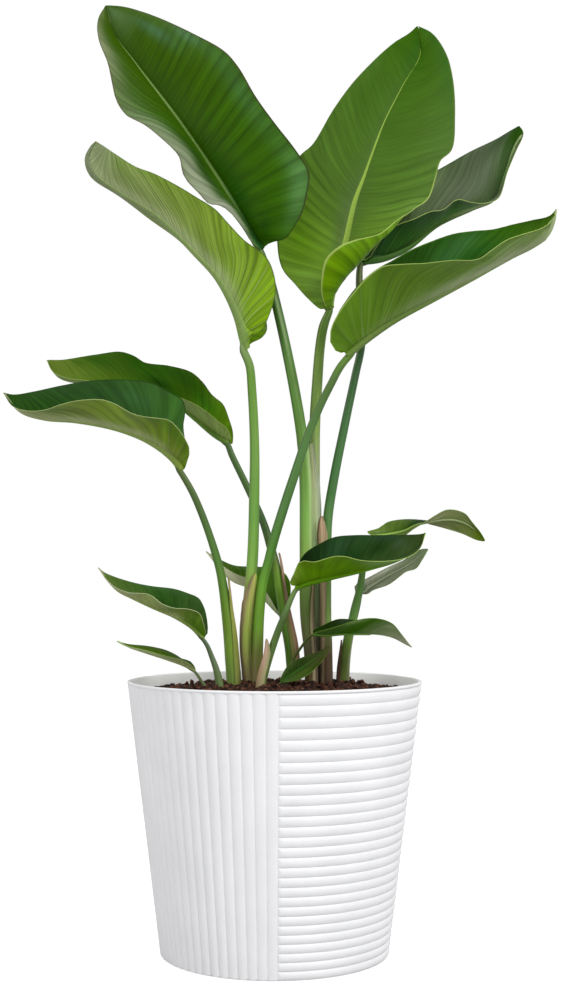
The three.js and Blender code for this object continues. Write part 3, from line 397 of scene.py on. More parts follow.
LEAF_LOOKS = dict(
    # tall_left: painted grey sheen on the folded left half, bluish sheen by the right margin, shade in the
    # trough.
    tall_left=dict(upper=("2f5900", "305503", "345000"), under=("88a05c", "98a883", "98a883"),
        upper_tint_and_painted_light_spots=[(0.11, -0.8, 0.08, 0.3, "a8aa98", 0.85), (0.23, -0.8, 0.1, 0.3, "8c947a", 0.8),
            (0.66, -0.97, 0.26, 0.25, "808664", 0.75), (0.26, -0.38, 0.12, 0.16, "103000", 0.75),
            (0.2, 0.12, 0.14, 0.12, "064800", 0.6), (0.07, 0.42, 0.05, 0.15, "083c00", 0.5),
            (0.15, 0.9, 0.07, 0.13, "5c8a50", 0.7), (0.45, 0.88, 0.2, 0.13, "40683c", 0.4),
            (0.66, 0.9, 0.06, 0.1, "466a4a", 0.6), (0.78, 0.66, 0.1, 0.12, "44684a", 0.7),
            (0.94, 0.42, 0.07, 0.3, "5a7a4c", 0.75), (0.8, 1.02, 0.28, 0.06, "1c3c02", 0.5),
            (0.95, -0.8, 0.06, 0.3, "627040", 0.6)],
        under_tint_and_painted_light_spots=[(1.0, 0, 0.08, 2, "4a6428", 1.0)],
        rib=("8aa860", "a9bd7a"), lean=(1.2, 0.55), belly=(0.02, 0.07), roll=(2.0, 4.5), pleat=0.5,
        spacing=12.5, relief=0.3, calm=(0.6, 0.85), rib_width=1.15, edge=("54543a", "2a3010"),
        edge_tip="3c3c1c", rib_foot="3c7438"),
    bowed_left=dict(upper=("567b00", "3b6606", "3b6606"), under=("7ca600", "7f9c34", "74825a"),
        upper_tint_and_painted_light_spots=[(1.0, 0, 0.12, 2, "728a4a", 1.0)],
        under_tint_and_painted_light_spots=[(0.04, -0.08, 0.06, 0.15, "b8dc80", 0.7), (0.28, -0.06, 0.2, 0.16, "aabc84", 0.85),
            (0.62, -0.06, 0.3, 0.16, "a4b082", 0.85), (0.52, -0.9, 0.16, 0.25, "5c7c0c", 0.5),
            (0.56, -0.65, 0.05, 0.35, "90a460", 0.6), (0.66, -0.66, 0.05, 0.2, "58781a", 0.55)],
        rib=("8cb04a", "6e8648"), lean=(1.9, 1.4), belly=(-0.02, -0.04), pleat=0.42,
        spacing=7.0, relief=0.2, calm=(0.62, 0.9), streaks=0.66, under_vein=("c0cc98", 0.7),
        edge=("46601c", "46601c")),
    tall_centre=dict(upper=("789f2a", "496a22", "345b06"), under=("609100", "5f8213", "6c8c20"),
        upper_tint_and_painted_light_spots=[(0.05, -0.5, 0.06, 0.5, "88ac56", 0.5), (0.16, -0.65, 0.06, 0.25, "568600", 0.6),
            (0.28, -0.07, 0.18, 0.12, "54663c", 0.7), (0.25, 0.9, 0.1, 0.2, "60803c", 0.6),
            (0.63, -0.6, 0.06, 0.25, "2c500a", 0.4), (0.56, -0.06, 0.16, 0.14, "446426", 0.5),
            (0.7, -0.9, 0.06, 0.2, "487028", 0.4), (0.8, 0.95, 0.2, 0.15, "1c5400", 0.5),
            (0.93, -0.1, 0.08, 0.3, "125000", 0.5)],
        under_tint_and_painted_light_spots=[(0.04, 0.3, 0.05, 0.2, "3c5800", 0.8), (0.05, 0.95, 0.08, 0.2, "7ca600", 0.7),
            (0.28, 0.95, 0.06, 0.3, "5c8428", 0.4)],
        rib=("94b04a", "8fae4c"), lean=(0.9, 0.65), belly=(0.04, 0.03), roll=(4.0, 2.0), pleat=0.4,
        spacing=10.0, relief=0.28, calm=(0.3, 0.7), rib_width=0.6, under_vein=("98c020", 0.3),
        edge=("3c5a14", "a8bc64"), edge_tip="4a6420"),
    upper_right=dict(upper=("587440", "58634a", "234a00"), under=("0c3c00", "2e6a00", "a4b27e"),
        upper_tint_and_painted_light_spots=[(0.48, -0.42, 0.13, 0.2, "647258", 0.8), (0.56, -0.85, 0.16, 0.25, "2c4420", 0.7),
            (0.66, -0.35, 0.07, 0.16, "627652", 0.75),
            (0.75, -0.1, 0.06, 0.12, "4c6e36", 0.6), (0.66, -0.97, 0.2, 0.17, "0c3a00", 0.75),
            (0.55, -0.05, 0.06, 0.1, "2e4612", 0.6), (0.85, -0.1, 0.05, 0.12, "50643f", 0.6)],
        under_tint_and_painted_light_spots=[(0.5, 0.2, 0.1, 0.4, "96aa70", 0.8), (0.3, 0.08, 0.12, 0.12, "486424", 0.8),
            (0.06, 0.08, 0.06, 0.12, "001e00", 0.8), (0.18, 0.12, 0.06, 0.12, "0a2c00", 0.7)],
        rib=("6c9430", "44682a"), lean=(3.0, 2.4), under_vein=("8aa05c", 0.3), edge=("2c4410", "a0b060")),
    boat_right=dict(upper=("000000", "235100", "446c0e"), under=("5f8814", "64891d", "8c9b6d"),
        upper_tint_and_painted_light_spots=[(0.47, -0.5, 0.1, 0.2, "0c4800", 0.8), (0.55, -0.33, 0.09, 0.12, "002800", 0.8),
            (0.55, -0.92, 0.06, 0.15, "346400", 0.5), (0.36, -0.7, 0.06, 0.3, "3a6838", 0.65)],
        under_tint_and_painted_light_spots=[(0.14, 0.05, 0.16, 0.12, "7a944a", 0.85), (0.36, 0.05, 0.08, 0.1, "80985e", 0.85),
            (0.6, 0.09, 0.24, 0.15, "b6c09c", 0.85), (0.56, 0.3, 0.06, 0.2, "a0b27c", 0.6),
            (0.46, 0.55, 0.035, 0.35, "92b068", 0.7), (0.77, 0.55, 0.05, 0.15, "8ea45e", 0.4),
            (0.68, 0.6, 0.09, 0.3, "54761c", 0.6), (0.3, 0.5, 0.08, 0.25, "466e08", 0.5)],
        rib=("88ac50", "6c8440"), rib_width=0.75, lean=(1.7, 2.8), belly=(-0.04, 0.03), pleat=0.3,
        spacing=9.0, relief=0.16, streaks=0.82, under_vein=("b4c08c", 0.4), edge=("3c6014", "a0b860")),
    side_left_front=dict(upper=("396124", "24461a", "1c4400"), under=("678613", "7e9b21", "a0a77c"),
        upper_tint_and_painted_light_spots=[(0.16, 0.75, 0.06, 0.25, "38661e", 0.6), (0.25, 0.64, 0.05, 0.13, "30582e", 0.7),
            (0.56, 0.9, 0.07, 0.15, "1e4e04", 0.5)],
        under_tint_and_painted_light_spots=[(0.4, -0.04, 0.45, 0.17, "c0c898", 0.9), (0.5, -0.55, 0.09, 0.35, "4e6c04", 0.75),
            (0.1, -0.85, 0.07, 0.25, "487800", 0.7), (0.05, -0.3, 0.05, 0.2, "88963e", 0.6),
            (0.25, -0.5, 0.05, 0.25, "849c34", 0.5), (0.66, -0.6, 0.05, 0.2, "80944a", 0.5)],
        rib=("7ba246", "7c9440"), lean=(1.6, 1.6), belly=(0.03, -0.03), pleat=0.4, spacing=12.0,
        relief=0.26, streaks=0.8, under_vein=("b4c08c", 0.5), edge=("a0b070", "1e3a0c")),
    side_left_back=dict(upper=("51730d", "2f5c07", "6b822f"), under=("88a54f", "728c36", "7c9a48"),
        upper_tint_and_painted_light_spots=[(0.15, 0.6, 0.06, 0.3, "125400", 0.6), (0.36, 0.37, 0.05, 0.15, "002c00", 0.75),
            (0.25, 0.8, 0.08, 0.3, "044400", 0.6), (0.46, 0.36, 0.05, 0.12, "305c00", 0.6),
            (0.56, 0.75, 0.07, 0.3, "085000", 0.6), (0.6, 0.1, 0.12, 0.25, "527010", 0.7),
            (0.67, 0.7, 0.05, 0.2, "406800", 0.5), (0.36, 0.8, 0.07, 0.25, "2c5c00", 0.7)],
        under_tint_and_painted_light_spots=[(0.07, -0.62, 0.06, 0.2, "9ab462", 0.5), (0.08, -0.08, 0.08, 0.12, "5c7a20", 0.7)],
        rib=("7ba246", "5c8430"), lean=(1.4, 1.4), belly=(-0.03, 0.03), gloss=0.005,
        edge=("8ca050", "2a4c08")),
    low_right=dict(upper=("000c00", "1d3c14", "374a20"), under=("73a309", "699d00", "588200"),
        upper_tint_and_painted_light_spots=[(0.26, -0.75, 0.05, 0.35, "2a4c2c", 0.8), (0.5, -0.95, 0.14, 0.16, "2c4432", 0.75),
            (0.36, -0.35, 0.06, 0.2, "042600", 0.7), (0.5, -0.55, 0.07, 0.22, "042a00", 0.75),
            (0.65, -0.62, 0.05, 0.2, "40563a", 0.75), (0.5, -0.08, 0.14, 0.1, "3a521c", 0.7),
            (0.75, -0.4, 0.06, 0.25, "3c5030", 0.6), (0.53, 0.88, 0.08, 0.15, "346008", 0.7)],
        under_tint_and_painted_light_spots=[(0.16, 0.04, 0.18, 0.15, "4c7400", 0.8), (0.02, 0.1, 0.04, 0.3, "305000", 0.8),
            (0.04, 0.92, 0.05, 0.3, "a2c44c", 0.7), (0.36, 0.1, 0.1, 0.15, "547c00", 0.6)],
        rib=("6f9a3a", "5c9008"), lean=(1.2, 1.2), belly=(-0.03, 0.03), pleat=0.1, relief=0.08,
        under_vein=("6c9c20", 0.2), edge=("1c3408", "a8c068")),
    low_left=dict(upper=("31491d", "295114", "5b7232"), under=("5b9100", "90a34c", "b0b587"),
        upper_tint_and_painted_light_spots=[(0.36, 0.36, 0.1, 0.13, "123800", 0.7), (0.36, 0.95, 0.2, 0.15, "3e6234", 0.7),
            (0.75, 0.65, 0.05, 0.15, "3c5a0c", 0.5)],
        under_tint_and_painted_light_spots=[(0.3, -0.06, 0.08, 0.17, "c8d09a", 0.85), (0.14, -0.4, 0.05, 0.2, "4c7800", 0.6),
            (0.35, -0.9, 0.06, 0.2, "9ab45c", 0.6), (0.05, -0.1, 0.05, 0.12, "809c4e", 0.6)],
        rib=("7ba246", "8ca050"), lean=(1.0, 1.0), belly=(0.03, -0.03), pleat=0.1, relief=0.08,
        under_vein=("a3b47c", 0.2), edge=("b4bc90", "3c5c28")),
    # small_left's and hidden_back's undersides are painted pale, as painted light lifting the shade they lie
    # in.
    small_left=dict(upper=("103c00", "3c5800", "4e7000"), under=("d8e599", "ccdb9e", "b8ce90"),
        rib=("7ba246", "8ca058"), lean=(0.8, 0.8), pleat=0.1, relief=0.06, under_vein=("94a464", 0.2)),
    hidden_back=dict(upper=("507a11", "3c6312", "546c28"), under=("dceab3", "edf3c0", "dce0b4"),
        rib=("6f9a3a", "9db070"), pleat=0.1, relief=0.06, under_vein=("a3b090", 0.2)),
    twisted_right=dict(upper=("607b24", "0a3100", "486000"), under=("8e9866", "8c9362", "4b6200"),
        upper_tint_and_painted_light_spots=[(0.26, 0.6, 0.06, 0.3, "6a7626", 0.8), (0.06, -0.4, 0.05, 0.2, "64784e", 0.6)],
        under_tint_and_painted_light_spots=[(0.45, 0.3, 0.05, 0.2, "bcc494", 0.7), (0.6, -0.72, 0.06, 0.25, "465618", 0.7),
            (0.75, 0.4, 0.05, 0.15, "8e9c62", 0.6)],
        rib=("8fb058", "98a878"), pleat=0.14, relief=0.1, under_vein=("8c9c60", 0.3)),
    turned_right=dict(upper=("2c5018", "2c5018", "2c5018"), under=("767b64", "71785c", "788b64"),
        under_tint_and_painted_light_spots=[(0.28, 0.76, 0.2, 0.25, "b2b6a4", 0.85), (0.32, -0.02, 0.2, 0.13, "40472a", 0.75),
            (0.2, -0.62, 0.06, 0.2, "868a74", 0.5), (0.55, 0.1, 0.05, 0.12, "3e452a", 0.6)],
        rib=("6f9a3a", "8c9478"), pleat=0.14, relief=0.1, under_vein=("a3ac90", 0.3)),
    arched_right=dict(upper=("173200", "1a3004", "4c6040"), under=("618e3a", "417400", "acb292"),
        under_tint_and_painted_light_spots=[(0.13, 0.05, 0.06, 0.15, "7c9050", 0.7), (0.25, 0.92, 0.06, 0.15, "b0d684", 0.7),
            (0.55, 0.75, 0.06, 0.2, "acba8c", 0.6), (0.35, 0.35, 0.06, 0.2, "386c00", 0.6)],
        rib=("7ba246", "6c9440"), pleat=0.1, relief=0.08, under_vein=("7c9450", 0.2)),
    new_shoot=dict(upper=("496529", "304215", "4b4e29"), under=("4c8c0a", "5a9210", "6c9424"),
        upper_tint_and_painted_light_spots=[(0.3, -0.35, 0.3, 0.3, "123400", 0.7), (0.3, 0.6, 0.14, 0.35, "48601a", 0.7),
            (0.5, 0.9, 0.2, 0.2, "2c360e", 0.6)],
        rib=("2f5a18", "7fa83a"), lean=(0.8, 0.8), pleat=0.06, relief=0.06, under_vein=("6c9c20", 0.1)),
)

# Where the three greens of a face stand along the blade.
GREEN_STOPS = (0.03, 0.36, 0.92)

# Each stalk's colours by height.
STALK_LOOKS = dict(
    tall_left=((262, "6c5a34"), (298, "62603e"), (340, "6a8638"), (385, "8cb054"), (430, "78a84a"),
        (480, "628a36"), (570, "608b3c"), (610, "4a722c"), (660, "3c5a1c")),
    bowed_left=((262, "6a5428"), (295, "74622c"), (340, "97914c"), (380, "80ae4c"), (425, "6a9a40"),
        (505, "709842"), (565, "669137"), (595, "7d935a")),
    tall_centre=((262, "7c8c5c"), (325, "a8c068"), (355, "c0d088"), (410, "a8b078"), (445, "9caf7a"),
        (480, "98a66e"), (520, "7c9c48"), (595, "799c42"), (630, "50721e")),
    upper_right=((262, "523e33"), (290, "725c3e"), (325, "92b45e"), (360, "7ea850"), (410, "5c8846"),
        (450, "427138"), (560, "3d6636"), (600, "42693e"), (650, "52602c")),
    boat_right=((262, "76643c"), (295, "6a752b"), (320, "6c9c28"), (360, "669a2b"), (390, "52842f"),
        (430, "4e783a"), (500, "4f763a"), (560, "4c6a30"), (595, "608728")),
    side_left_front=((262, "7b9848"), (295, "769a30"), (330, "6e912c"), (360, "59802a"), (390, "507830"),
        (430, "496530"), (470, "516630")),
    side_left_back=((262, "5c8820"), (300, "4a701a"), (335, "6a9a2c"), (358, "82b039"), (385, "5a7428"),
        (415, "345420"), (450, "426628"), (505, "4a6632")),
    low_right=((262, "5f6f3a"), (295, "597735"), (325, "445f27"), (350, "6a8848")),
    low_left=((262, "677c49"), (305, "566a4a")),
    small_left=((257, "727956"), (275, "5c7040")),
    hidden_back=((262, "44701c"), (330, "3c6820")),
    twisted_right=((262, "68792c"), (295, "627d27"), (325, "669641"), (355, "547f38"), (400, "3e5222")),
    turned_right=((262, "8c9468"), (300, "7c9058"), (345, "3c5c24")),
    arched_right=((262, "4c5424"), (310, "495c22")),
    new_shoot=((258, "3e4718"), (270, "3e4f18")),
)

# Painted highlights down the right-hand flanks of stalks: the heights between which they show, and their
# colour.
PAINTED_FLANK_HIGHLIGHTS = dict(tall_left=(350, 500, "a8c480"))


# Curves and outlines

def seen(points):
    """Real places of points written as they are seen from the eye."""
    across, up, behind = np.array([point[:3] for point in points], float).T
    reach = (behind - EYE[1]) / -EYE[1]
    return np.column_stack([EYE[0] + (across - EYE[0]) * reach, behind, EYE[2] + (up - EYE[2]) * reach])


class SmoothLine:
    """A smooth curve through points, read by share of its length. It rounds tight corners tightly."""

    STEPS = 30
    LEAST_GAP = 0.01
    SHORT_WAY = 0.004

    def __init__(self, points):
        knots = np.vstack([2 * points[0] - points[1], points, 2 * points[-1] - points[-2]])
        gaps = np.maximum(np.linalg.norm(np.diff(knots, axis=0), axis=1) ** 0.5, self.LEAST_GAP)
        share = np.linspace(0, 1, self.STEPS, endpoint=False)[:, None]
        spans = []
        for index in range(len(points) - 1):
            before, start, end, after = knots[index:index + 4]
            first, middle, last = gaps[index:index + 3]
            leave = (start - before) / first - (end - before) / (first + middle) + (end - start) / middle
            leave = leave * middle
            arrive = (end - start) / middle - (after - start) / (middle + last) + (after - end) / last
            arrive = arrive * middle
            bend = -3 * start + 3 * end - 2 * leave - arrive
            turn = 2 * start - 2 * end + leave + arrive
            spans.append(start + leave * share + bend * share ** 2 + turn * share ** 3)
        self.points = np.vstack(spans + [points[-1:]])
        steps = np.linalg.norm(np.diff(self.points, axis=0), axis=1)
        self.distances = np.concatenate([[0], np.cumsum(steps)])
        self.length = self.distances[-1]

    def at(self, share):
        distance = share * self.length
        return np.stack([np.interp(distance, self.distances, axis) for axis in self.points.T], axis=-1)

    def direction(self, share):
        ahead = self.at(np.minimum(share + self.SHORT_WAY, 1))
        return unit(ahead - self.at(np.maximum(share - self.SHORT_WAY, 0)))


def unit(vectors):
    return vectors / np.maximum(np.linalg.norm(vectors, axis=-1, keepdims=True), 1e-9)


def together(*values):
    """Marks or places from the values of each of their parts."""
    return np.stack(np.broadcast_arrays(*values), axis=-1)


def smooth_step(low, high, values):
    share = np.clip((values - low) / (high - low), 0, 1)
    return share * share * (3 - 2 * share)


def margin_line(rib, points, foot_half_width):
    """A margin that starts beside the rib's base and ends beside its tip."""
    line = seen(points)

    def beside(share, towards, distance):
        place = rib.at(share)
        way = towards - place
        tangent = rib.direction(share)
        return place + unit(way - tangent * np.dot(way, tangent)) * distance

    start = beside(0, line[0], foot_half_width)
    end = beside(1, line[-1], TIP_HALF_WIDTH)
    return SmoothLine(np.vstack([start, line, end]))


# Meshes

def fresh_grid(name, places):
    """A flat grid with as many points as there are places, ready to be shaped."""
    rows, columns = places.shape[:2]
    bpy.ops.object.select_all(action="DESELECT")
    bpy.ops.mesh.primitive_grid_add(x_subdivisions=columns - 1, y_subdivisions=rows - 1, size=1)
    piece = bpy.context.object
    piece.name = name
    piece.data.name = name
    return piece


def shape_grid(piece, places, marks):
    """Moves the grid's points to places[row, column], and keeps the marks that its finish reads."""
    mesh = piece.data
    rows, columns = places.shape[:2]
    flat = np.empty(len(mesh.vertices) * 3)
    mesh.vertices.foreach_get("co", flat)
    across, up, _ = flat.reshape(-1, 3).T
    column = np.rint((across + 0.5) * (columns - 1)).astype(int)
    row = np.rint((up + 0.5) * (rows - 1)).astype(int)
    mesh.vertices.foreach_set("co", (places[row, column] * MM).ravel())
    for name, values in marks.items():
        layer = mesh.attributes.new(name, "FLOAT_VECTOR", "POINT")
        layer.data.foreach_set("vector", values[row, column].ravel())
    mesh.update()
    return row, column


def close_up(piece):
    """Joins the edges that a rolled grid lays on each other, fills its ends and turns its faces out."""
    bpy.ops.object.mode_set(mode="EDIT")
    bpy.ops.mesh.select_all(action="SELECT")
    bpy.ops.mesh.remove_doubles(threshold=MERGE_DISTANCE * MM)
    bpy.ops.mesh.select_all(action="SELECT")
    bpy.ops.mesh.fill_holes(sides=0)
    bpy.ops.mesh.select_all(action="SELECT")
    bpy.ops.mesh.normals_make_consistent(inside=False)
    bpy.ops.object.mode_set(mode="OBJECT")


def thicken(piece, thickness):
    """Gives a sheet its thickness below its upper face, with the second and third finish under and around."""
    wall = piece.modifiers.new("thickness", "SOLIDIFY")
    wall.thickness = thickness * MM
    wall.offset = -1
    wall.material_offset = 1
    wall.material_offset_rim = 2
    bpy.ops.object.modifier_apply(modifier=wall.name)


def smooth_faces(piece, angle):
    piece.select_set(True)
    bpy.ops.object.shade_smooth_by_angle(angle=math.radians(angle))


def place_in_frame(piece, slot, *nodes):
    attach(piece, ROOT)
    if nodes:
        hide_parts(*nodes)


def rolled_piece(name, places, marks, angle):
    """A closed piece, rolled from a sheet whose first and last columns meet. It is smooth below the angle."""
    piece = fresh_grid(name, places)
    shape_grid(piece, places, marks)
    close_up(piece)
    smooth_faces(piece, angle)
    return piece


def grid_normals(places):
    """Which way the upper face looks at each point. Both ends of a blade are flat."""
    normals = np.zeros_like(places)
    low_left, low_right = places[:-1, :-1], places[:-1, 1:]
    high_right, high_left = places[1:, 1:], places[1:, :-1]
    facing = np.cross(high_right - low_left, high_left - low_right)
    normals[:-1, :-1] += facing
    normals[:-1, 1:] += facing
    normals[1:, 1:] += facing
    normals[1:, :-1] += facing
    middle = places.shape[1] // 2
    normals[0] = normals[0, middle]
    normals[-1] = normals[-1, middle]
    return unit(normals)


# Finishes

def colour(text):
    """A colour written as six letters and figures, as the renderer counts light."""
    parts = [int(text[start:start + 2], 16) / 255 for start in (0, 2, 4)]
    return [part / 12.92 if part <= 0.04045 else ((part + 0.055) / 1.055) ** 2.4 for part in parts] + [1]


class Finish:
    """A material being made, with short ways to add what this plant's finishes share."""

    # The sockets of a mix that take its two colours and give the mixed one.
    FIRST_COLOUR, SECOND_COLOUR, MIXED_COLOUR = 6, 7, 2

    def __init__(self, name, roughness, gloss):
        self.material = bpy.data.materials.new(name)
        self.material.use_nodes = True
        self.tree = self.material.node_tree
        self.shader = self.tree.nodes["Principled BSDF"]
        self.shader.inputs["Roughness"].default_value = roughness
        self.shader.inputs["Specular IOR Level"].default_value = gloss

    def bloom(self, amount, tint):
        """A waxy bloom, which shows where the skin turns away."""
        self.shader.inputs["Sheen Weight"].default_value = amount
        self.shader.inputs["Sheen Roughness"].default_value = 0.45
        self.shader.inputs["Sheen Tint"].default_value = colour(tint)

    def node(self, kind, **settings):
        made = self.tree.nodes.new(kind)
        for key, value in settings.items():
            setattr(made, key, value)
        return made

    def put(self, source, target):
        """Links a value to a socket, or sets the socket to a plain number or colour."""
        if hasattr(source, "is_output"):
            self.tree.links.new(source, target)
        else:
            target.default_value = source

    def mark(self, name):
        return self.node("ShaderNodeAttribute", attribute_name=name).outputs["Vector"]

    def parts(self, vector):
        split = self.node("ShaderNodeSeparateXYZ")
        self.put(vector, split.inputs[0])
        return split.outputs

    def place(self):
        return self.node("ShaderNodeTexCoord").outputs["Object"]

    def noise(self, vector, scale, detail=2, roughness=0.5):
        noise = self.node("ShaderNodeTexNoise")
        self.put(vector, noise.inputs["Vector"])
        noise.inputs["Scale"].default_value = scale
        noise.inputs["Detail"].default_value = detail
        noise.inputs["Roughness"].default_value = roughness
        return noise.outputs["Fac"]

    def fibres(self, spot, per_millimetre, detail=2, roughness=0.5):
        """Noise drawn out along the piece, by how fast it changes in each direction."""
        mapping = self.node("ShaderNodeMapping")
        self.put(spot, mapping.inputs["Vector"])
        mapping.inputs["Scale"].default_value = per_millimetre
        return self.noise(mapping.outputs[0], 1.0, detail, roughness)

    def ramp(self, value, *stops):
        """Colours along a value, from (place, colour) pairs."""
        ramp = self.node("ShaderNodeValToRGB")
        band = ramp.color_ramp.elements
        while len(band) < len(stops):
            band.new(0.5)
        for element, (spot, text) in zip(band, stops):
            element.position = spot
            element.color = colour(text)
        self.put(value, ramp.inputs[0])
        return ramp.outputs[0]

    def span(self, value, low, high, least=0.0, most=1.0):
        """A value read between low and high, turned into one between least and most."""
        span = self.node("ShaderNodeMapRange", interpolation_type="SMOOTHSTEP")
        self.put(value, span.inputs["Value"])
        for name, number in zip(("From Min", "From Max", "To Min", "To Max"), (low, high, least, most)):
            span.inputs[name].default_value = number
        return span.outputs[0]

    def reckon(self, way, first, second=0.0):
        node = self.node("ShaderNodeMath", operation=way)
        self.put(first, node.inputs[0])
        self.put(second, node.inputs[1])
        return node.outputs[0]

    def mix(self, share, first, second, way="MIX"):
        mix = self.node("ShaderNodeMix", data_type="RGBA", blend_type=way)
        self.put(share, mix.inputs[0])
        self.put(first, mix.inputs[self.FIRST_COLOUR])
        self.put(second, mix.inputs[self.SECOND_COLOUR])
        return mix.outputs[self.MIXED_COLOUR]

    def darken(self, base, value, low, high, least):
        """Darkens a colour where a value is low, down to a share of it."""
        return self.mix(1.0, base, self.span(value, low, high, least, 1.0), "MULTIPLY")

    def done(self, base, roughness=None, height=None, strength=0.3, distance=0.3):
        """The material, in a colour, and with an uneven gloss and fine bumps if they are given."""
        self.put(base, self.shader.inputs["Base Color"])
        if roughness:
            self.put(roughness, self.shader.inputs["Roughness"])
        if height:
            bump = self.node("ShaderNodeBump")
            bump.inputs["Strength"].default_value = strength
            bump.inputs["Distance"].default_value = distance * MM
            self.put(height, bump.inputs["Height"])
            self.put(bump.outputs[0], self.shader.inputs["Normal"])
        return self.material


def painted(looks, face, rise, share, pleats, rib_painted_shadow):
    """A face's greens along the blade, with its soft patches of other tones and of painted sheen and shade,
    the painted light and shade of its pleats, and a painted shadow beside its rib. A patch shows most on the
    strong pleats."""
    part, strength = pleats
    greens = np.array([colour(text)[:3] for text in looks[face]])
    base = np.stack([np.interp(rise, GREEN_STOPS, channel) for channel in greens.T], axis=-1)
    base = base * np.ones_like(share)[..., None]
    # Patches: partly the leaf's own tones, partly painted sheen, painted highlight and painted shade.
    for along, across, reach_along, reach_across, tint, amount in looks[face + "_tint_and_painted_light_spots"]:
        away = ((rise - along) / reach_along) ** 2 + ((share - across) / reach_across) ** 2
        weight = amount * np.exp(-away) * (0.6 + 0.4 * strength)
        base += weight[..., None] * (np.array(colour(tint)[:3]) - base)
    # Painted light and shade: pleats lighter towards the light, darker away from it; painted shadow by the
    # rib.
    sides = np.interp(part, *PAINTED_PLEAT_SHADING)
    painted_light_mask = smooth_step(0.05, 0.4, np.abs(share)) * (1 - smooth_step(*looks["calm"], rise))
    light = (1 + looks["relief"] * sides * strength * painted_light_mask) * (1 - 0.3 * rib_painted_shadow)
    return base * light[..., None]


def upper_finish(name, looks):
    """The upper face, whose rib may be darker near the base."""
    finish = Finish(name + "_upper", UPPER_ROUGHNESS, looks["gloss"])
    rib, _ = looks["rib"]
    return blade_skin(finish, "upper", rib, looks["rib_foot"], looks, UPPER_ROUGHNESS)


def under_finish(name, looks):
    """The underside, which is rougher and has a faint waxy bloom."""
    finish = Finish(name + "_underside", UNDER_ROUGHNESS, 0.1)
    finish.bloom(0.03, "d8e0d0")
    _, rib = looks["rib"]
    return blade_skin(finish, "under", rib, None, looks, UNDER_ROUGHNESS)


def blade_skin(finish, face, rib, rib_foot, looks, roughness):
    """A face's greens and painted light and shade, streaks along its veins, the midrib and fine margins."""
    along, midrib, vein_mark = finish.parts(finish.mark("leaf_marks"))
    spot = finish.mark("leaf_mm")
    share = finish.parts(spot)[2]
    broad = finish.fibres(spot, (0.05, 0.02, 0))
    streaks = finish.fibres(spot, (0.42, 0.014, 0), 3)
    fine = finish.fibres(spot, (1.5, 0.03, 0))
    base = finish.mark(face + "_tones_and_painted_light")
    base = finish.darken(base, broad, 0.3, 0.7, 0.88)
    streaked = finish.darken(base, streaks, 0.34, 0.6, looks["streaks"])
    base = finish.mix(finish.span(along, *looks["calm"], 1.0, 0.4), base, streaked)
    base = finish.darken(base, fine, 0.36, 0.58, 0.88)
    tint, strength = looks[face + "_vein"]
    vein_here = finish.span(streaks, 0.35, 0.65, 0.2 * strength, strength)
    base = finish.mix(finish.reckon("MULTIPLY", vein_mark, vein_here), base, colour(tint))
    rib_tint = colour(rib)
    if rib_foot:
        rib_tint = finish.mix(finish.span(along, 0.02, 0.32), colour(rib_foot), rib_tint)
    worn_rib = finish.mix(finish.span(fine, 0.3, 0.7), rib_tint, finish.mix(0.5, rib_tint, base))
    base = finish.mix(finish.span(midrib, 0.0, 0.3), base, worn_rib)
    at_margin = finish.span(finish.reckon("ABSOLUTE", share), 0.97, 0.99, 0.0, 0.85)
    base = finish.mix(at_margin, base, margin_colour(finish, along, share, looks))
    worn = finish.span(streaks, 0.25, 0.75, roughness - 0.05, roughness + 0.08)
    return finish.done(base, worn, finish.reckon("ADD", fine, streaks), 0.3)


def margin_colour(finish, along, share, looks):
    left, right = looks["edge"]
    base = finish.mix(finish.span(share, -0.1, 0.1), colour(left), colour(right))
    if looks["edge_tip"]:
        base = finish.mix(finish.span(along, 0.28, 0.5), base, colour(looks["edge_tip"]))
    return base


def margin_finish(name, looks):
    """The cut edge of a blade, in the colours of its left and right margin."""
    finish = Finish(name + "_margin", 0.8, 0.05)
    along = finish.parts(finish.mark("leaf_marks"))[0]
    share = finish.parts(finish.mark("leaf_mm"))[2]
    return finish.done(margin_colour(finish, along, share, looks))


# Leaves

def vein_rows(length, spacing, random):
    """Rows along a rib: the share of the length, the place in its pleat, and how strong its pleat is."""
    gaps = []
    while sum(gaps) < length - spacing / 2:
        gaps.append(spacing * random.uniform(0.6, 1.4))
    edges = np.concatenate([[0], np.cumsum(gaps)])
    edges *= length / edges[-1]
    rows = []
    for start, end in zip(edges[:-1], edges[1:]):
        strength = random.uniform(0.35, 1.0)
        rows += [((start + (end - start) * part) / length, part, strength) for part in PLEAT_ROWS]
    rows.append((1, 0, 0))
    return np.array(rows).T


def blade_columns():
    """Columns across a blade: the side, the share of the rib's half-width, and the share of the lamina."""
    lamina = [step / LAMINA_STEPS for step in range(1, LAMINA_STEPS)] + [MARGIN_LINE, 1]
    half = [(step, 0) for step in RIB_STEPS] + [(1, share) for share in lamina]
    left = [(-1, rib, share) for rib, share in reversed(half)]
    right = [(1, rib, share) for rib, share in half]
    return np.array(left + [(1, 0, 0)] + right).T


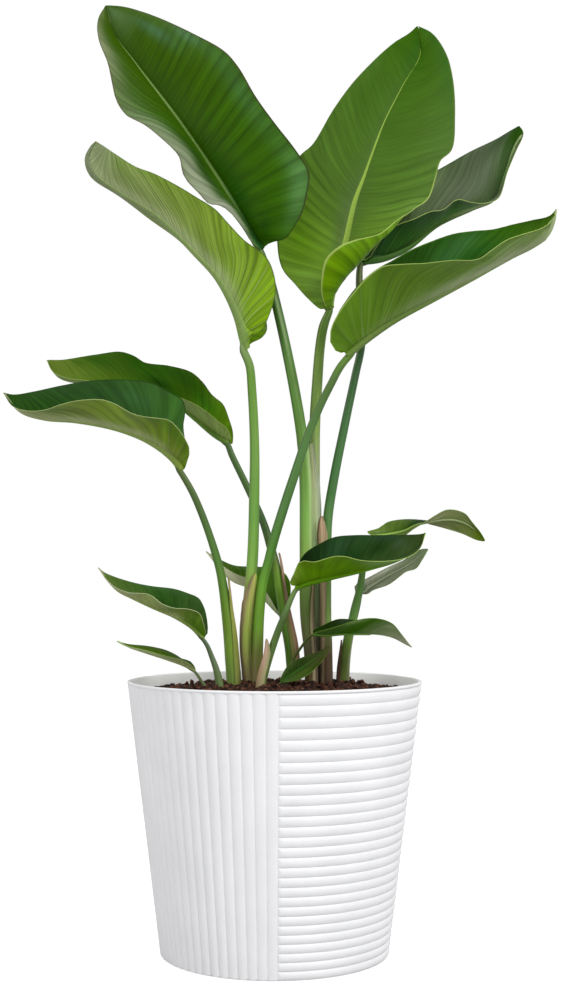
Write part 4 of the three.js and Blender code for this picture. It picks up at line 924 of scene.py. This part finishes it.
class Blade:
    """A blade's middle surface, in rows along its rib and columns from its left margin to its right one."""

    def __init__(self, leaf, looks, random):
        self.leaf = leaf
        self.looks = looks
        self.rib = SmoothLine(seen(leaf["rib"]))
        self.foot_width = leaf["stalk"][0][3]
        rows = vein_rows(self.rib.length, looks["spacing"], random)
        self.rise, self.part, self.strength = (value[:, None] for value in rows)
        self.side, self.in_rib, self.in_lamina = (value[None, :] for value in blade_columns())
        self.on_lamina = self.in_lamina > 0
        self.lay_out()
        self.raise_relief(random)

    def by_half(self, left, right):
        return np.where(self.side < 0, left, right)

    def lay_out(self):
        """Spreads the rows from the rib to both margins, leaning towards the tip as the veins do."""
        rise = self.rise
        foot = self.foot_width / 2
        left, right = (margin_line(self.rib, self.leaf[key], foot) for key in ("left", "right"))
        middle = self.rib.at(rise)
        widths = [np.linalg.norm(edge.at(rise) - middle, axis=-1) for edge in (left, right)]
        self.width = self.by_half(*widths)
        rib_half = self.looks["rib_width"] * (foot * (1 - rise) ** RIB_TAPER + RIB_TIP_HALF_WIDTH)
        rib_share = np.minimum(rib_half / self.width, RIB_MOST_OF_HALF)
        self.share = rib_share * self.in_rib + (1 - rib_share) * self.in_lamina
        run = self.by_half(*self.looks["lean"]) * (1 - rise ** 3) * self.share ** VEIN_SWEEP
        self.along = 1 - (1 - rise) ** (1 + run)
        self.spread = np.minimum((1 + run) * (1 - rise) ** run, 1)
        at_rib = self.rib.at(self.along)
        at_edge = np.where(self.side[..., None] < 0, left.at(self.along), right.at(self.along))
        self.places = at_rib + (at_edge - at_rib) * self.share[..., None]
        if "right_fold" in self.leaf:
            fold = SmoothLine(seen(self.leaf["right_fold"])).at(self.along) - (at_rib + at_edge) / 2
            self.places += self.by_half(0, 4 * self.share * (1 - self.share))[..., None] * fold

    def raise_relief(self, random):
        """Bulges each half, pleats it between its veins, ripples and rolls its margin, and sinks the rib."""
        rise, width, share, in_lamina = self.rise, self.width, self.share, self.in_lamina
        ends = smooth_step(0, BLADE_END, rise) * smooth_step(0, BLADE_END, 1 - rise)
        belly = self.by_half(*self.looks["belly"]) * width * 4 * share * (1 - share)
        crease = (1 - np.abs(2 * self.part - 1) ** PLEAT_ROUNDING) * self.strength
        pleat = self.looks["pleat"] * crease * smooth_step(0.02, 0.2, in_lamina) * (1 - 0.5 * in_lamina ** 4)
        pleat = pleat * ends * (1 - smooth_step(*PLEAT_FADE, rise)) * self.spread ** 2
        long_phase, short_phase = random.uniform(0, ANY_PHASE, 2)
        ripple = (
            np.sin(self.along * self.rib.length / LONG_RIPPLE + long_phase + self.side)
            + 0.6 * np.sin(self.along * self.rib.length / SHORT_RIPPLE + short_phase + 2 * self.side)
        )
        wave = RIPPLE_HEIGHT * ripple * in_lamina ** 3 * ends * np.minimum(width / RIPPLE_FULL_WIDTH, 1)
        roll = self.by_half(*self.looks["roll"]) * in_lamina ** ROLL_ROUNDING * ends
        roll = roll * np.minimum(width / ROLL_FULL_WIDTH, 1)
        channel = RIB_CHANNEL * self.foot_width * (1 - rise) * np.maximum(1 - self.in_rib ** 2, 0)
        channel = channel * np.where(self.on_lamina, 0, 1)
        self.places += (belly + pleat + wave - roll - channel)[..., None] * grid_normals(self.places)

    def ridge(self):
        """How far the underside drops: in a round ridge under the rib, and less than none at the margins."""
        in_ridge = np.where(self.on_lamina, 0, np.sqrt(np.maximum(1 - self.in_rib ** 2, 0)))
        ridge = RIB_RIDGE * self.foot_width * (1 - self.rise) ** RIB_RIDGE_TAPER * in_ridge
        return ridge - MARGIN_THINNING * np.maximum(self.in_lamina ** 5, smooth_step(0.9, 1, self.rise))

    def marks(self):
        """What the finishes read: distances, the rib and the veins, and the greens of both faces with their
        painted light and shade.
        """
        fading = 1 - smooth_step(*RIB_FADE, self.rise)
        vein = np.where(self.part == 0, 0.3 + 0.7 * self.strength, np.where(self.part == 0.5, 0.25, 0))
        vein = vein * self.on_lamina * (1 - 0.75 * self.in_lamina)
        midrib = np.where(self.on_lamina, 0, 1 - self.in_rib) * fading
        # Painted shadow on the lamina just beside the rib.
        rib_painted_shadow = np.exp(-(self.in_lamina * self.width / RIB_SHADOW_WIDTH) ** 2) * self.on_lamina * fading
        across = self.side * self.share
        pleats = (self.part, self.strength)
        return dict(
            leaf_mm=together(self.rise * self.rib.length, across * self.width, across),
            leaf_marks=together(self.rise, midrib, vein),
            upper_tones_and_painted_light=painted(self.looks, "upper", self.rise, across, pleats, rib_painted_shadow),
            under_tones_and_painted_light=painted(self.looks, "under", self.rise, across, pleats, rib_painted_shadow),
        )


def make_leaf(name, number):
    """A blade with its rolled margins and its ridged rib, and the stalk that bears it."""
    looks = PLAIN_LEAF | LEAF_LOOKS[name]
    blade = Blade(LEAVES[name], looks, np.random.default_rng(LEAF_SEED + number))
    places = blade.places
    normals = grid_normals(places)
    piece = fresh_grid("leaf_" + name, places)
    row, column = shape_grid(piece, places + normals * BLADE_THICKNESS / 2, blade.marks())
    for finish in (upper_finish, under_finish, margin_finish):
        piece.data.materials.append(finish(name, looks))
    thicken(piece, BLADE_THICKNESS)
    mesh = piece.data
    spots = np.empty(len(mesh.vertices) * 3)
    mesh.vertices.foreach_get("co", spots)
    spots = spots.reshape(-1, 3)
    spots[len(row):] -= normals[row, column] * blade.ridge()[row, column][:, None] * MM
    mesh.vertices.foreach_set("co", spots.ravel())
    mesh.update()
    smooth_faces(piece, BLADE_SMOOTH)
    place_in_frame(piece, "blade", "blade_" + name)
    make_stalk(name, normals[0, places.shape[1] // 2])


# Stalks

def stalk_spine(leaf, facing):
    """A stalk's middle line from root to blade, and its radius along it. The top runs on under the midrib."""
    rib = SmoothLine(seen(leaf["rib"]))
    foot_radius = leaf["stalk"][0][3] / 2
    spots = list(reversed(leaf["stalk"]))
    places = seen(spots)
    radii = [spot[3] / 2 for spot in spots]
    root = places[0] * (1, 1, 0) + (0, 0, ROOT_LEVEL)
    places[-1] -= facing * (foot_radius - BLADE_THICKNESS / 2)
    under = [rib.at(min(0.1, reach / rib.length)) - facing * foot_radius * 0.9 for reach, _ in RUN_ON]
    places = np.vstack([root, places] + under)
    radii = [radii[0] * ROOT_TAPER] + radii + [foot_radius * share for _, share in RUN_ON]
    spine = SmoothLine(places)
    knots = [spine.distances[np.argmin(np.linalg.norm(spine.points - place, axis=1))] for place in places]
    return spine, lambda share: np.interp(share * spine.length, knots, radii)


def cross_frame(direction):
    """The side and the front of a ring across a stalk."""
    side = unit(np.cross(direction, (0, -1, 0)))
    return side, np.cross(side, direction)


def around_stalk(spine, share, side, front, turn, radius):
    """Places round a stalk's middle line, by their turn from its front and their distance from it."""
    around = front[:, None] * np.cos(turn)[..., None] + side[:, None] * np.sin(turn)[..., None]
    return spine.at(share) + around * radius[..., None]


def make_stalk(name, facing):
    """A stalk with fine grooves, and with a channel on the side that its blade's upper face looks to."""
    spine, radius_at = stalk_spine(LEAVES[name], facing)
    share = np.linspace(0, 1, max(LEAST_STALK_ROWS, round(spine.length / STALK_STEP)))[:, None]
    side, front = cross_frame(spine.direction(share[:, 0]))
    turn = np.linspace(0, FULL_TURN, STALK_SIDES + 1)[None, :]
    channel_turn = math.atan2(np.dot(facing, side[-1]), np.dot(facing, front[-1]))
    away = np.abs((turn - channel_turn + HALF_TURN) % FULL_TURN - HALF_TURN)
    channel = np.exp(-(away / STALK_CHANNEL_WIDTH) ** 2) * smooth_step(0.35, 0.9, share)
    grooves = STALK_GROOVE * np.sin(turn * STALK_GROOVES) * smooth_step(0.1, 0.3, share)
    radius = radius_at(share) * (1 - STALK_CHANNEL * channel + grooves)
    places = around_stalk(spine, share, side, front, turn, radius)
    # The stalk marks' third part, how far a point faces the front or back, sets the painted shade on the
    # flanks.
    marks = dict(
        stalk_mm=together(share * spine.length, STREAK_RADIUS * np.cos(turn), STREAK_RADIUS * np.sin(turn)),
        stalk_marks=together(stalk_rise(places[..., 2]), channel, np.cos(turn)),
    )
    piece = rolled_piece("petiole_" + name, places, marks, STALK_SMOOTH)
    piece.data.materials.append(stalk_finish(name))
    place_in_frame(piece, "stalk", "stalk_" + name)


def stalk_rise(height):
    return (height - STALK_LOW) / STALK_REACH


def stalk_finish(name):
    """Smooth green skin with fine streaks along it, warmer and browner where it leaves the soil, with painted
    shade on its flanks and, on some stalks, a painted highlight down the right flank.
    """
    finish = Finish("stalk_" + name, 0.4, 0.25)
    spot = finish.mark("stalk_mm")
    rise, channel, front = finish.parts(finish.mark("stalk_marks"))
    streaks = finish.fibres(spot, (0.008, 0.5, 0.5), 3)
    fine = finish.fibres(spot, (0.02, 1.6, 1.6))
    base = finish.ramp(rise, *[(stalk_rise(height), text) for height, text in STALK_LOOKS[name]])
    base = finish.darken(base, streaks, 0.32, 0.62, 0.8)
    base = finish.darken(base, fine, 0.35, 0.6, 0.9)
    base = finish.mix(finish.span(channel, 0.3, 1.0, 0.0, 0.3), base, colour("a9c274"))
    # Painted shade: the flanks, seen from the front, are darkened.
    base = finish.darken(base, finish.reckon("ABSOLUTE", front), 0.1, 0.6, 0.72)
    # Painted highlight: a pale band down the right-hand flank between two heights.
    if name in PAINTED_FLANK_HIGHLIGHTS:
        low, high, tint = PAINTED_FLANK_HIGHLIGHTS[name]
        above = finish.span(rise, stalk_rise(low) - FLANK_FADE, stalk_rise(low) + FLANK_FADE)
        below = finish.span(rise, stalk_rise(high) + FLANK_FADE, stalk_rise(high) - FLANK_FADE)
        to_right = finish.span(finish.parts(spot)[2], 1.0, 5.0, 0.0, 0.8)
        painted_light_mask = finish.reckon("MULTIPLY", to_right, finish.reckon("MULTIPLY", above, below))
        base = finish.mix(painted_light_mask, base, colour(tint))
    worn = finish.span(streaks, 0.3, 0.7, 0.34, 0.48)
    return finish.done(base, worn, finish.reckon("ADD", fine, streaks), 0.2)


def make_sheath(name, number):
    """A dry sheath: a thin curved strip that hugs a stalk, narrows upwards, and is torn along its edges."""
    sheath = SHEATHS[name]
    random = np.random.default_rng(SHEATH_SEED + number)
    spine, radius_at = stalk_spine(LEAVES[name], unit(np.array([0.0, -1.0, 0.5])))
    bottom = SOIL_EDGE_LEVEL - SHEATH_BURIED
    tall = sheath["top"] - bottom
    rise = np.linspace(0, 1, max(LEAST_SHEATH_ROWS, round(tall / SHEATH_STEP)))[:, None]
    height = bottom + tall * rise
    share = np.interp(height, spine.points[:, 2], spine.distances) / spine.length
    side, front = cross_frame(spine.direction(share[:, 0]))
    across = np.linspace(-1, 1, SHEATH_COLUMNS)[None, :]
    phase = random.uniform(0, ANY_PHASE, 5)
    coarse_tear = COARSE_TEAR * np.sin(rise * 31 + phase[0] + 2 * np.sign(across))
    fine_tear = FINE_TEAR * np.sin(rise * 67 + phase[1] + 3 * np.sign(across))
    narrowed = 1 - SHEATH_NARROWING * rise ** sheath["broad"]
    half_span = math.radians(sheath["half_span"]) * narrowed * (1 + (coarse_tear + fine_tear) * rise)
    facing_low, facing_high = sheath["facing"]
    angle = np.radians(facing_low * (1 - rise) + facing_high * rise) + across * half_span
    curl = SHEATH_CURL * np.abs(across) ** 4 * rise * (0.6 + 0.4 * np.sin(rise * 9 + phase[2]))
    lean = sheath["flare"] * rise ** 5
    wrinkle = SHEATH_WRINKLE * np.sin(across * 17 + phase[3] + 3 * np.sin(rise * 4 + phase[4]))
    radius = radius_at(share) + SHEATH_GAP + SHEATH_THICKNESS + lean + curl + wrinkle
    places = around_stalk(spine, share, side, front, angle, radius)
    marks = dict(
        sheath_mm=together(height, angle * STREAK_RADIUS, 1),
        sheath_marks=together(rise, across, 1),
    )
    piece = fresh_grid("dry_sheath_" + name, places)
    shape_grid(piece, places, marks)
    thicken(piece, SHEATH_THICKNESS)
    smooth_faces(piece, SHEATH_SMOOTH)
    piece.data.materials.append(sheath_finish("sheath_" + name, sheath["browns"]))
    place_in_frame(piece, "sheath", "sheath_" + name)


def sheath_finish(name, browns):
    """Papery dry skin, streaked along its fibres and darker at its torn edges."""
    finish = Finish(name, 0.62, 0.22)
    spot = finish.mark("sheath_mm")
    rise, across, _ = finish.parts(finish.mark("sheath_marks"))
    streaks = finish.fibres(spot, (0.015, 0.7, 0.7), 4, 0.6)
    fine = finish.fibres(spot, (0.04, 2.4, 2.4), 3)
    low, middle, top, left, right = browns
    base = finish.ramp(rise, (0.05, low), (0.5, middle), (0.95, top))
    base = finish.mix(finish.span(across, -0.2, -0.75, 0.0, 0.85), base, colour(left))
    base = finish.mix(finish.span(across, 0.2, 0.75, 0.0, 0.85), base, colour(right))
    base = finish.darken(base, streaks, 0.3, 0.62, 0.7)
    base = finish.darken(base, fine, 0.35, 0.6, 0.86)
    torn = finish.span(finish.reckon("ABSOLUTE", across), 0.9, 1.0, 0.0, 0.25)
    base = finish.mix(torn, base, colour("5a3a2e"))
    return finish.done(base, None, finish.reckon("ADD", fine, streaks), 0.5)


# Pot

def wall_radius(height):
    return FOOT_RADIUS + (RIM_RADIUS - FOOT_RADIUS) * height / POT_HEIGHT


def inner_radius(height):
    return wall_radius(height) - WALL


def rounded_groove(distance, reach):
    """How deep the wall lies near a groove, on a shoulder that rounds over within a reach."""
    share = np.clip(distance / reach, 0, 1)
    return GROOVE_DEPTH * (0.85 * (1 - share) ** 2 + 0.15 * (1 - share) ** 12)


def band_rows():
    """Heights and depths of the rings' outline, from the foot up. The rings get lower towards the foot."""
    shrink = (FOOT_RADIUS / RIM_RADIUS) ** (1 / RING_COUNT)
    tallest = (POT_HEIGHT - LIP_HEIGHT) * (1 - shrink) / (1 - shrink ** RING_COUNT)
    rows = []
    top = POT_HEIGHT - LIP_HEIGHT
    for ring in range(RING_COUNT):
        tall = tallest * shrink ** ring
        rows += [(top - part * tall, rounded_groove(min(part, 1 - part), 0.5)) for part in RING_PARTS]
        top -= tall
    rows.append((0.9, GROOVE_DEPTH * 0.5))
    return [row for row in reversed(rows) if row[0] > 0.8]


def wall_columns():
    """Columns round the wall: the angle, the depth of the upright grooves, and 1 where the rings are."""
    reed_wide = HALF_TURN / REED_COUNT
    reeds = [(HALF_TURN / 2 + (reed + part) * reed_wide, rounded_groove(min(part, 1 - part), 0.5), 0)
        for reed in range(REED_COUNT) for part in REED_PARTS]
    across_rings = np.linspace(RINGS_FROM_SEAM, HALF_TURN - RINGS_FROM_SEAM, RING_STEPS)
    from_seam = SEAM_STEPS + list(across_rings) + [HALF_TURN - step for step in reversed(SEAM_STEPS)]
    rings = [(3 * HALF_TURN / 2 + angle, rounded_groove(min(angle, HALF_TURN - angle), SEAM_REACH), 1)
        for angle in from_seam]
    return (np.array(value)[None, :] for value in zip(*reeds, *rings))


def tub_outline():
    """The pot's outline from under its foot, over its lip and down the inside: the radius, the height, how
    deep the rings' grooves are there, and the share of the grooves' depth that shows."""
    foot = wall_radius(0)
    lip = POT_HEIGHT - LIP_HEIGHT
    neck = wall_radius(lip)
    inner_rim = RIM_RADIUS - WALL
    under = [(0, FOOT_HOLLOW, 0, 0), (98, FOOT_HOLLOW, 0, 0), (103, 0, 0, 0), (foot - 2.4, 0, 0, 0),
        (foot - 1.2, 0.3, 0, 0.5)]
    wall = [(wall_radius(height), height, depth, 1) for height, depth in band_rows()]
    rim = [
        (neck, lip + 0.1, GROOVE_DEPTH, 1), (neck - 0.4, lip + 0.3, 0, 0), (neck + 0.1, lip + 0.8, 0, 0),
        (RIM_RADIUS, POT_HEIGHT - 0.9, 0, 0), (RIM_RADIUS - 0.3, POT_HEIGHT - 0.25, 0, 0),
        (RIM_RADIUS - 0.9, POT_HEIGHT, 0, 0), (inner_rim + 1.1, POT_HEIGHT, 0, 0),
        (inner_rim + 0.4, POT_HEIGHT - 0.25, 0, 0), (inner_rim, POT_HEIGHT - 0.9, 0, 0)]
    inside = [(inner_radius(height), height, 0, 0) for height in (SOIL_EDGE_LEVEL, 130, FLOOR_LEVEL)]
    return under + wall + rim + inside + [(0, FLOOR_LEVEL, 0, 0)]


def make_tub():
    """The pot, rolled from one sheet: its foot, its reeded and ringed wall, its lip and its inside."""
    angles, reed_depth, on_rings = wall_columns()
    base, height, ring_depth, relief = (np.array(value)[:, None] for value in zip(*tub_outline()))
    depth = np.where(on_rings > 0, np.maximum(ring_depth, reed_depth), reed_depth)
    radius = np.maximum(base - depth * relief, 0)
    places = together(radius * np.cos(angles), radius * np.sin(angles), height)
    places = np.concatenate([places, places[:, :1]], axis=1)
    # The inside rows are marked for the painted light on the inner wall.
    marks = np.zeros_like(places)
    marks[-TUB_INSIDE_ROWS:, :, 0] = 1
    piece = rolled_piece("tub", places, dict(tub_inside_painted_light=marks), POT_SMOOTH)
    piece.data.materials.append(tub_finish())
    place_in_frame(piece, "pot", "pot")


def tub_finish():
    """White moulded plastic: matt, with a faint mottle and fine grain, and painted paler inside, as painted
    light on the shaded inner wall.
    """
    finish = Finish("white_plastic", 0.5, 0.4)
    place = finish.place()
    mottle = finish.noise(place, 24, 3)
    grain = finish.noise(place, 900, 2)
    inside = finish.parts(finish.mark("tub_inside_painted_light"))[0]
    outer = finish.mix(finish.span(mottle, 0.3, 0.7), colour("e2e2e4"), colour("e6e6e8"))
    # Painted light: the inside is a paler white than the outside, lifting the shade on the inner wall.
    base = finish.mix(inside, outer, colour("f8f8f8"))
    return finish.done(base, finish.span(mottle, 0.3, 0.7, 0.46, 0.54), grain, 0.12, 0.15)


# Soil

def stalk_feet():
    """Where each stalk stands in the soil, and its radius there."""
    return [(seen(leaf["stalk"][-1:])[0], leaf["stalk"][-1][3] / 2) for leaf in LEAVES.values()]


def soil_level(x, y):
    """Level of the loose soil: heaped towards the stems and round each of them, with lumps."""
    reach = np.hypot(x, y) / wall_radius(SOIL_EDGE_LEVEL)
    lumps = BROAD_LUMPS * np.sin(x / 11 + 0.8) * np.cos(y / 9 - 0.4) + SMALL_LUMPS * np.sin(x / 5.3 - y / 6.1)
    near = np.zeros_like(reach)
    for foot, _ in stalk_feet():
        near = np.maximum(near, np.exp(-((x - foot[0]) ** 2 + (y - foot[1]) ** 2) / STEM_MOUND_REACH ** 2))
    heap = SOIL_HEAP * (1 - reach ** 2) + STEM_MOUND * near
    return SOIL_EDGE_LEVEL + heap + lumps * (1 - reach ** 6)


def clods(x, y, random):
    """Fine unevenness: the sum of slanting ripples of many sizes, cut off below so that it reads as clods."""
    total = np.zeros_like(x)
    for size in CLOD_SIZES:
        for _ in range(3):
            turn, phase, bend = random.uniform(0, ANY_PHASE, 3)
            along = (x * math.cos(turn) + y * math.sin(turn)) / size
            across = (y * math.cos(turn) - x * math.sin(turn)) / size
            total += CLOD_HEIGHT * size * np.sin(along + phase + 0.8 * np.sin(across * 0.7 + bend))
    return np.maximum(total, -HOLLOW_DEPTH)


def make_soil():
    """The potting mix: a block that fills the pot, with a heaped and crumbly top."""
    random = np.random.default_rng(SOIL_SEED)
    top_radius = inner_radius(SOIL_EDGE_LEVEL) - SOIL_GAP
    turn = np.linspace(0, FULL_TURN, SOIL_ACROSS + 1)[None, :]
    reach = np.concatenate([np.linspace(1, 0.03, SOIL_RINGS), [0]])[:, None]
    x, y = top_radius * reach * np.cos(turn), top_radius * reach * np.sin(turn)
    fade = np.minimum((1 - reach) / 0.02, 1)
    top = together(x, y, soil_level(x, y) + clods(x, y, random) * fade)
    top[-1] = top[-1, 0]
    bottom = FLOOR_LEVEL + 1
    low_radius = inner_radius(bottom) - SOIL_GAP
    low = together(low_radius * np.cos(turn), low_radius * np.sin(turn), bottom)
    centre = low * (0, 0, 1)
    piece = rolled_piece("potting_mix", np.concatenate([centre, low, top]), {}, SOIL_SMOOTH)
    piece.data.materials.append(soil_finish("potting_mix", "140b08", "48291d"))
    place_in_frame(piece, "soil", "soil")


def soil_finish(name, dark, light):
    """Damp peat: near black in its hollows, red-brown on its crumbs, partly its own colour and partly painted
    shade in the hollows and painted highlight on the crumbs.
    """
    finish = Finish(name, 0.85, 0.2)
    place = finish.place()
    lumps = finish.noise(place, 210, 4, 0.6)
    specks = finish.noise(place, 800, 3, 0.6)
    # Painted shade and highlight: the colour follows the same lumps as the bumps, dark low and red-brown
    # high.
    base = finish.ramp(lumps, (0.4, dark), (0.54, light), (0.68, "8a5c44"))
    base = finish.darken(base, specks, 0.38, 0.6, 0.35)
    return finish.done(base, None, finish.reckon("ADD", lumps, specks), 0.7, 1.2)


def make_crumbs():
    """Loose crumbs of bark and peat on the soil, clear of the stalks, in one mesh."""
    random = np.random.default_rng(CRUMB_SEED)
    bpy.ops.object.select_all(action="DESELECT")
    bpy.ops.mesh.primitive_ico_sphere_add(subdivisions=1, radius=1)
    pattern = bpy.context.object
    corners = np.array([vertex.co for vertex in pattern.data.vertices])
    faces = np.array([list(face.vertices) for face in pattern.data.polygons])
    bpy.data.objects.remove(pattern)
    feet = stalk_feet()
    points, shapes = [], []
    while len(shapes) < CRUMB_COUNT:
        size = CRUMB_LEAST + CRUMB_RANGE * random.random() ** 2.4
        reach = (inner_radius(SOIL_EDGE_LEVEL) - size - 1) * math.sqrt(random.random())
        turn = random.uniform(0, FULL_TURN)
        x, y = reach * math.cos(turn), reach * math.sin(turn)
        if any(math.hypot(x - foot[0], y - foot[1]) < radius + size for foot, radius in feet):
            continue
        squeeze = random.uniform(0.45, 1.15, 3)
        rough = corners * random.uniform(0.72, 1.2, (len(corners), 1))
        spin = np.linalg.qr(random.normal(size=(3, 3)))[0]
        spin *= np.sign(np.linalg.det(spin))
        level = soil_level(x, y) + size * random.uniform(0.1, 0.9)
        shapes.append(faces + len(corners) * len(shapes))
        points.append((rough * squeeze * size) @ spin.T + (x, y, level))
    mesh = bpy.data.meshes.new("crumbs")
    mesh.from_pydata((np.concatenate(points) * MM).tolist(), [], np.concatenate(shapes).tolist())
    piece = bpy.data.objects.new("crumbs", mesh)
    bpy.context.collection.objects.link(piece)
    mesh.materials.append(soil_finish("crumbs", "1c0f0a", "643c2b"))
    place_in_frame(piece, "soil")


# Studio

def set_camera():
    bpy.ops.object.camera_add(
        location=[value * MM for value in EYE],
        rotation=(math.radians(CAMERA_PITCH), 0, math.radians(CAMERA_TURN)))
    camera = bpy.context.object
    camera.data.lens = CAMERA_LENS
    camera.data.sensor_width = SENSOR_WIDTH
    camera.data.clip_start = 0.05
    camera.data.clip_end = 30
    bpy.context.scene.camera = camera


def add_light(name, place, size, power):
    """A round soft light that looks at the middle of the plant."""
    bpy.ops.object.light_add(type="AREA", location=place)
    light = bpy.context.object
    light.name = name
    light.data.shape = "DISK"
    light.data.size = size
    light.data.energy = power
    way = np.array(PLANT_MIDDLE) - np.array(place)
    tilt = math.acos(-way[2] / np.linalg.norm(way))
    light.rotation_euler = (-tilt, 0, math.atan2(way[1], way[0]) + HALF_TURN / 2)


def lay_floor():
    """A pale floor, which the camera sees as bright as the white behind it."""
    bpy.ops.object.select_all(action="DESELECT")
    bpy.ops.mesh.primitive_circle_add(
        vertices=96, radius=FLOOR_RADIUS, fill_type="NGON", location=(0, 0, -FLOOR_DROP))
    floor = bpy.context.object
    floor.name = "floor"
    pale = Finish("pale_floor", 0.9, 0.1)
    pale.shader.inputs["Emission Color"].default_value = colour("ebebeb")
    to_camera = pale.node("ShaderNodeLightPath").outputs["Is Camera Ray"]
    pale.put(to_camera, pale.shader.inputs["Emission Strength"])
    floor.data.materials.append(pale.done(colour("bcbcbc")))


def set_surround():
    """A white background for the camera, and a dimmer white surround for everything else."""
    world = bpy.data.worlds.new("white_room")
    bpy.context.scene.world = world
    world.use_nodes = True
    tree = world.node_tree
    surround = tree.nodes["Background"]
    surround.inputs["Color"].default_value = colour("ffffff")
    surround.inputs["Strength"].default_value = SURROUND_LIGHT
    backdrop = tree.nodes.new("ShaderNodeBackground")
    backdrop.inputs["Color"].default_value = colour("ffffff")
    path = tree.nodes.new("ShaderNodeLightPath")
    mix = tree.nodes.new("ShaderNodeMixShader")
    tree.links.new(path.outputs["Is Camera Ray"], mix.inputs[0])
    tree.links.new(surround.outputs[0], mix.inputs[1])
    tree.links.new(backdrop.outputs[0], mix.inputs[2])
    tree.links.new(mix.outputs[0], tree.nodes["World Output"].inputs["Surface"])
    bpy.context.scene.view_settings.view_transform = "Standard"


def main():
    set_camera()
    lay_floor()
    set_surround()
    for name, place, size, power in LIGHTS:
        add_light(name, place, size, power)
    make_tub()
    make_soil()
    make_crumbs()
    for number, name in enumerate(LEAVES):
        make_leaf(name, number)
    for number, name in enumerate(SHEATHS):
        make_sheath(name, number)


main()
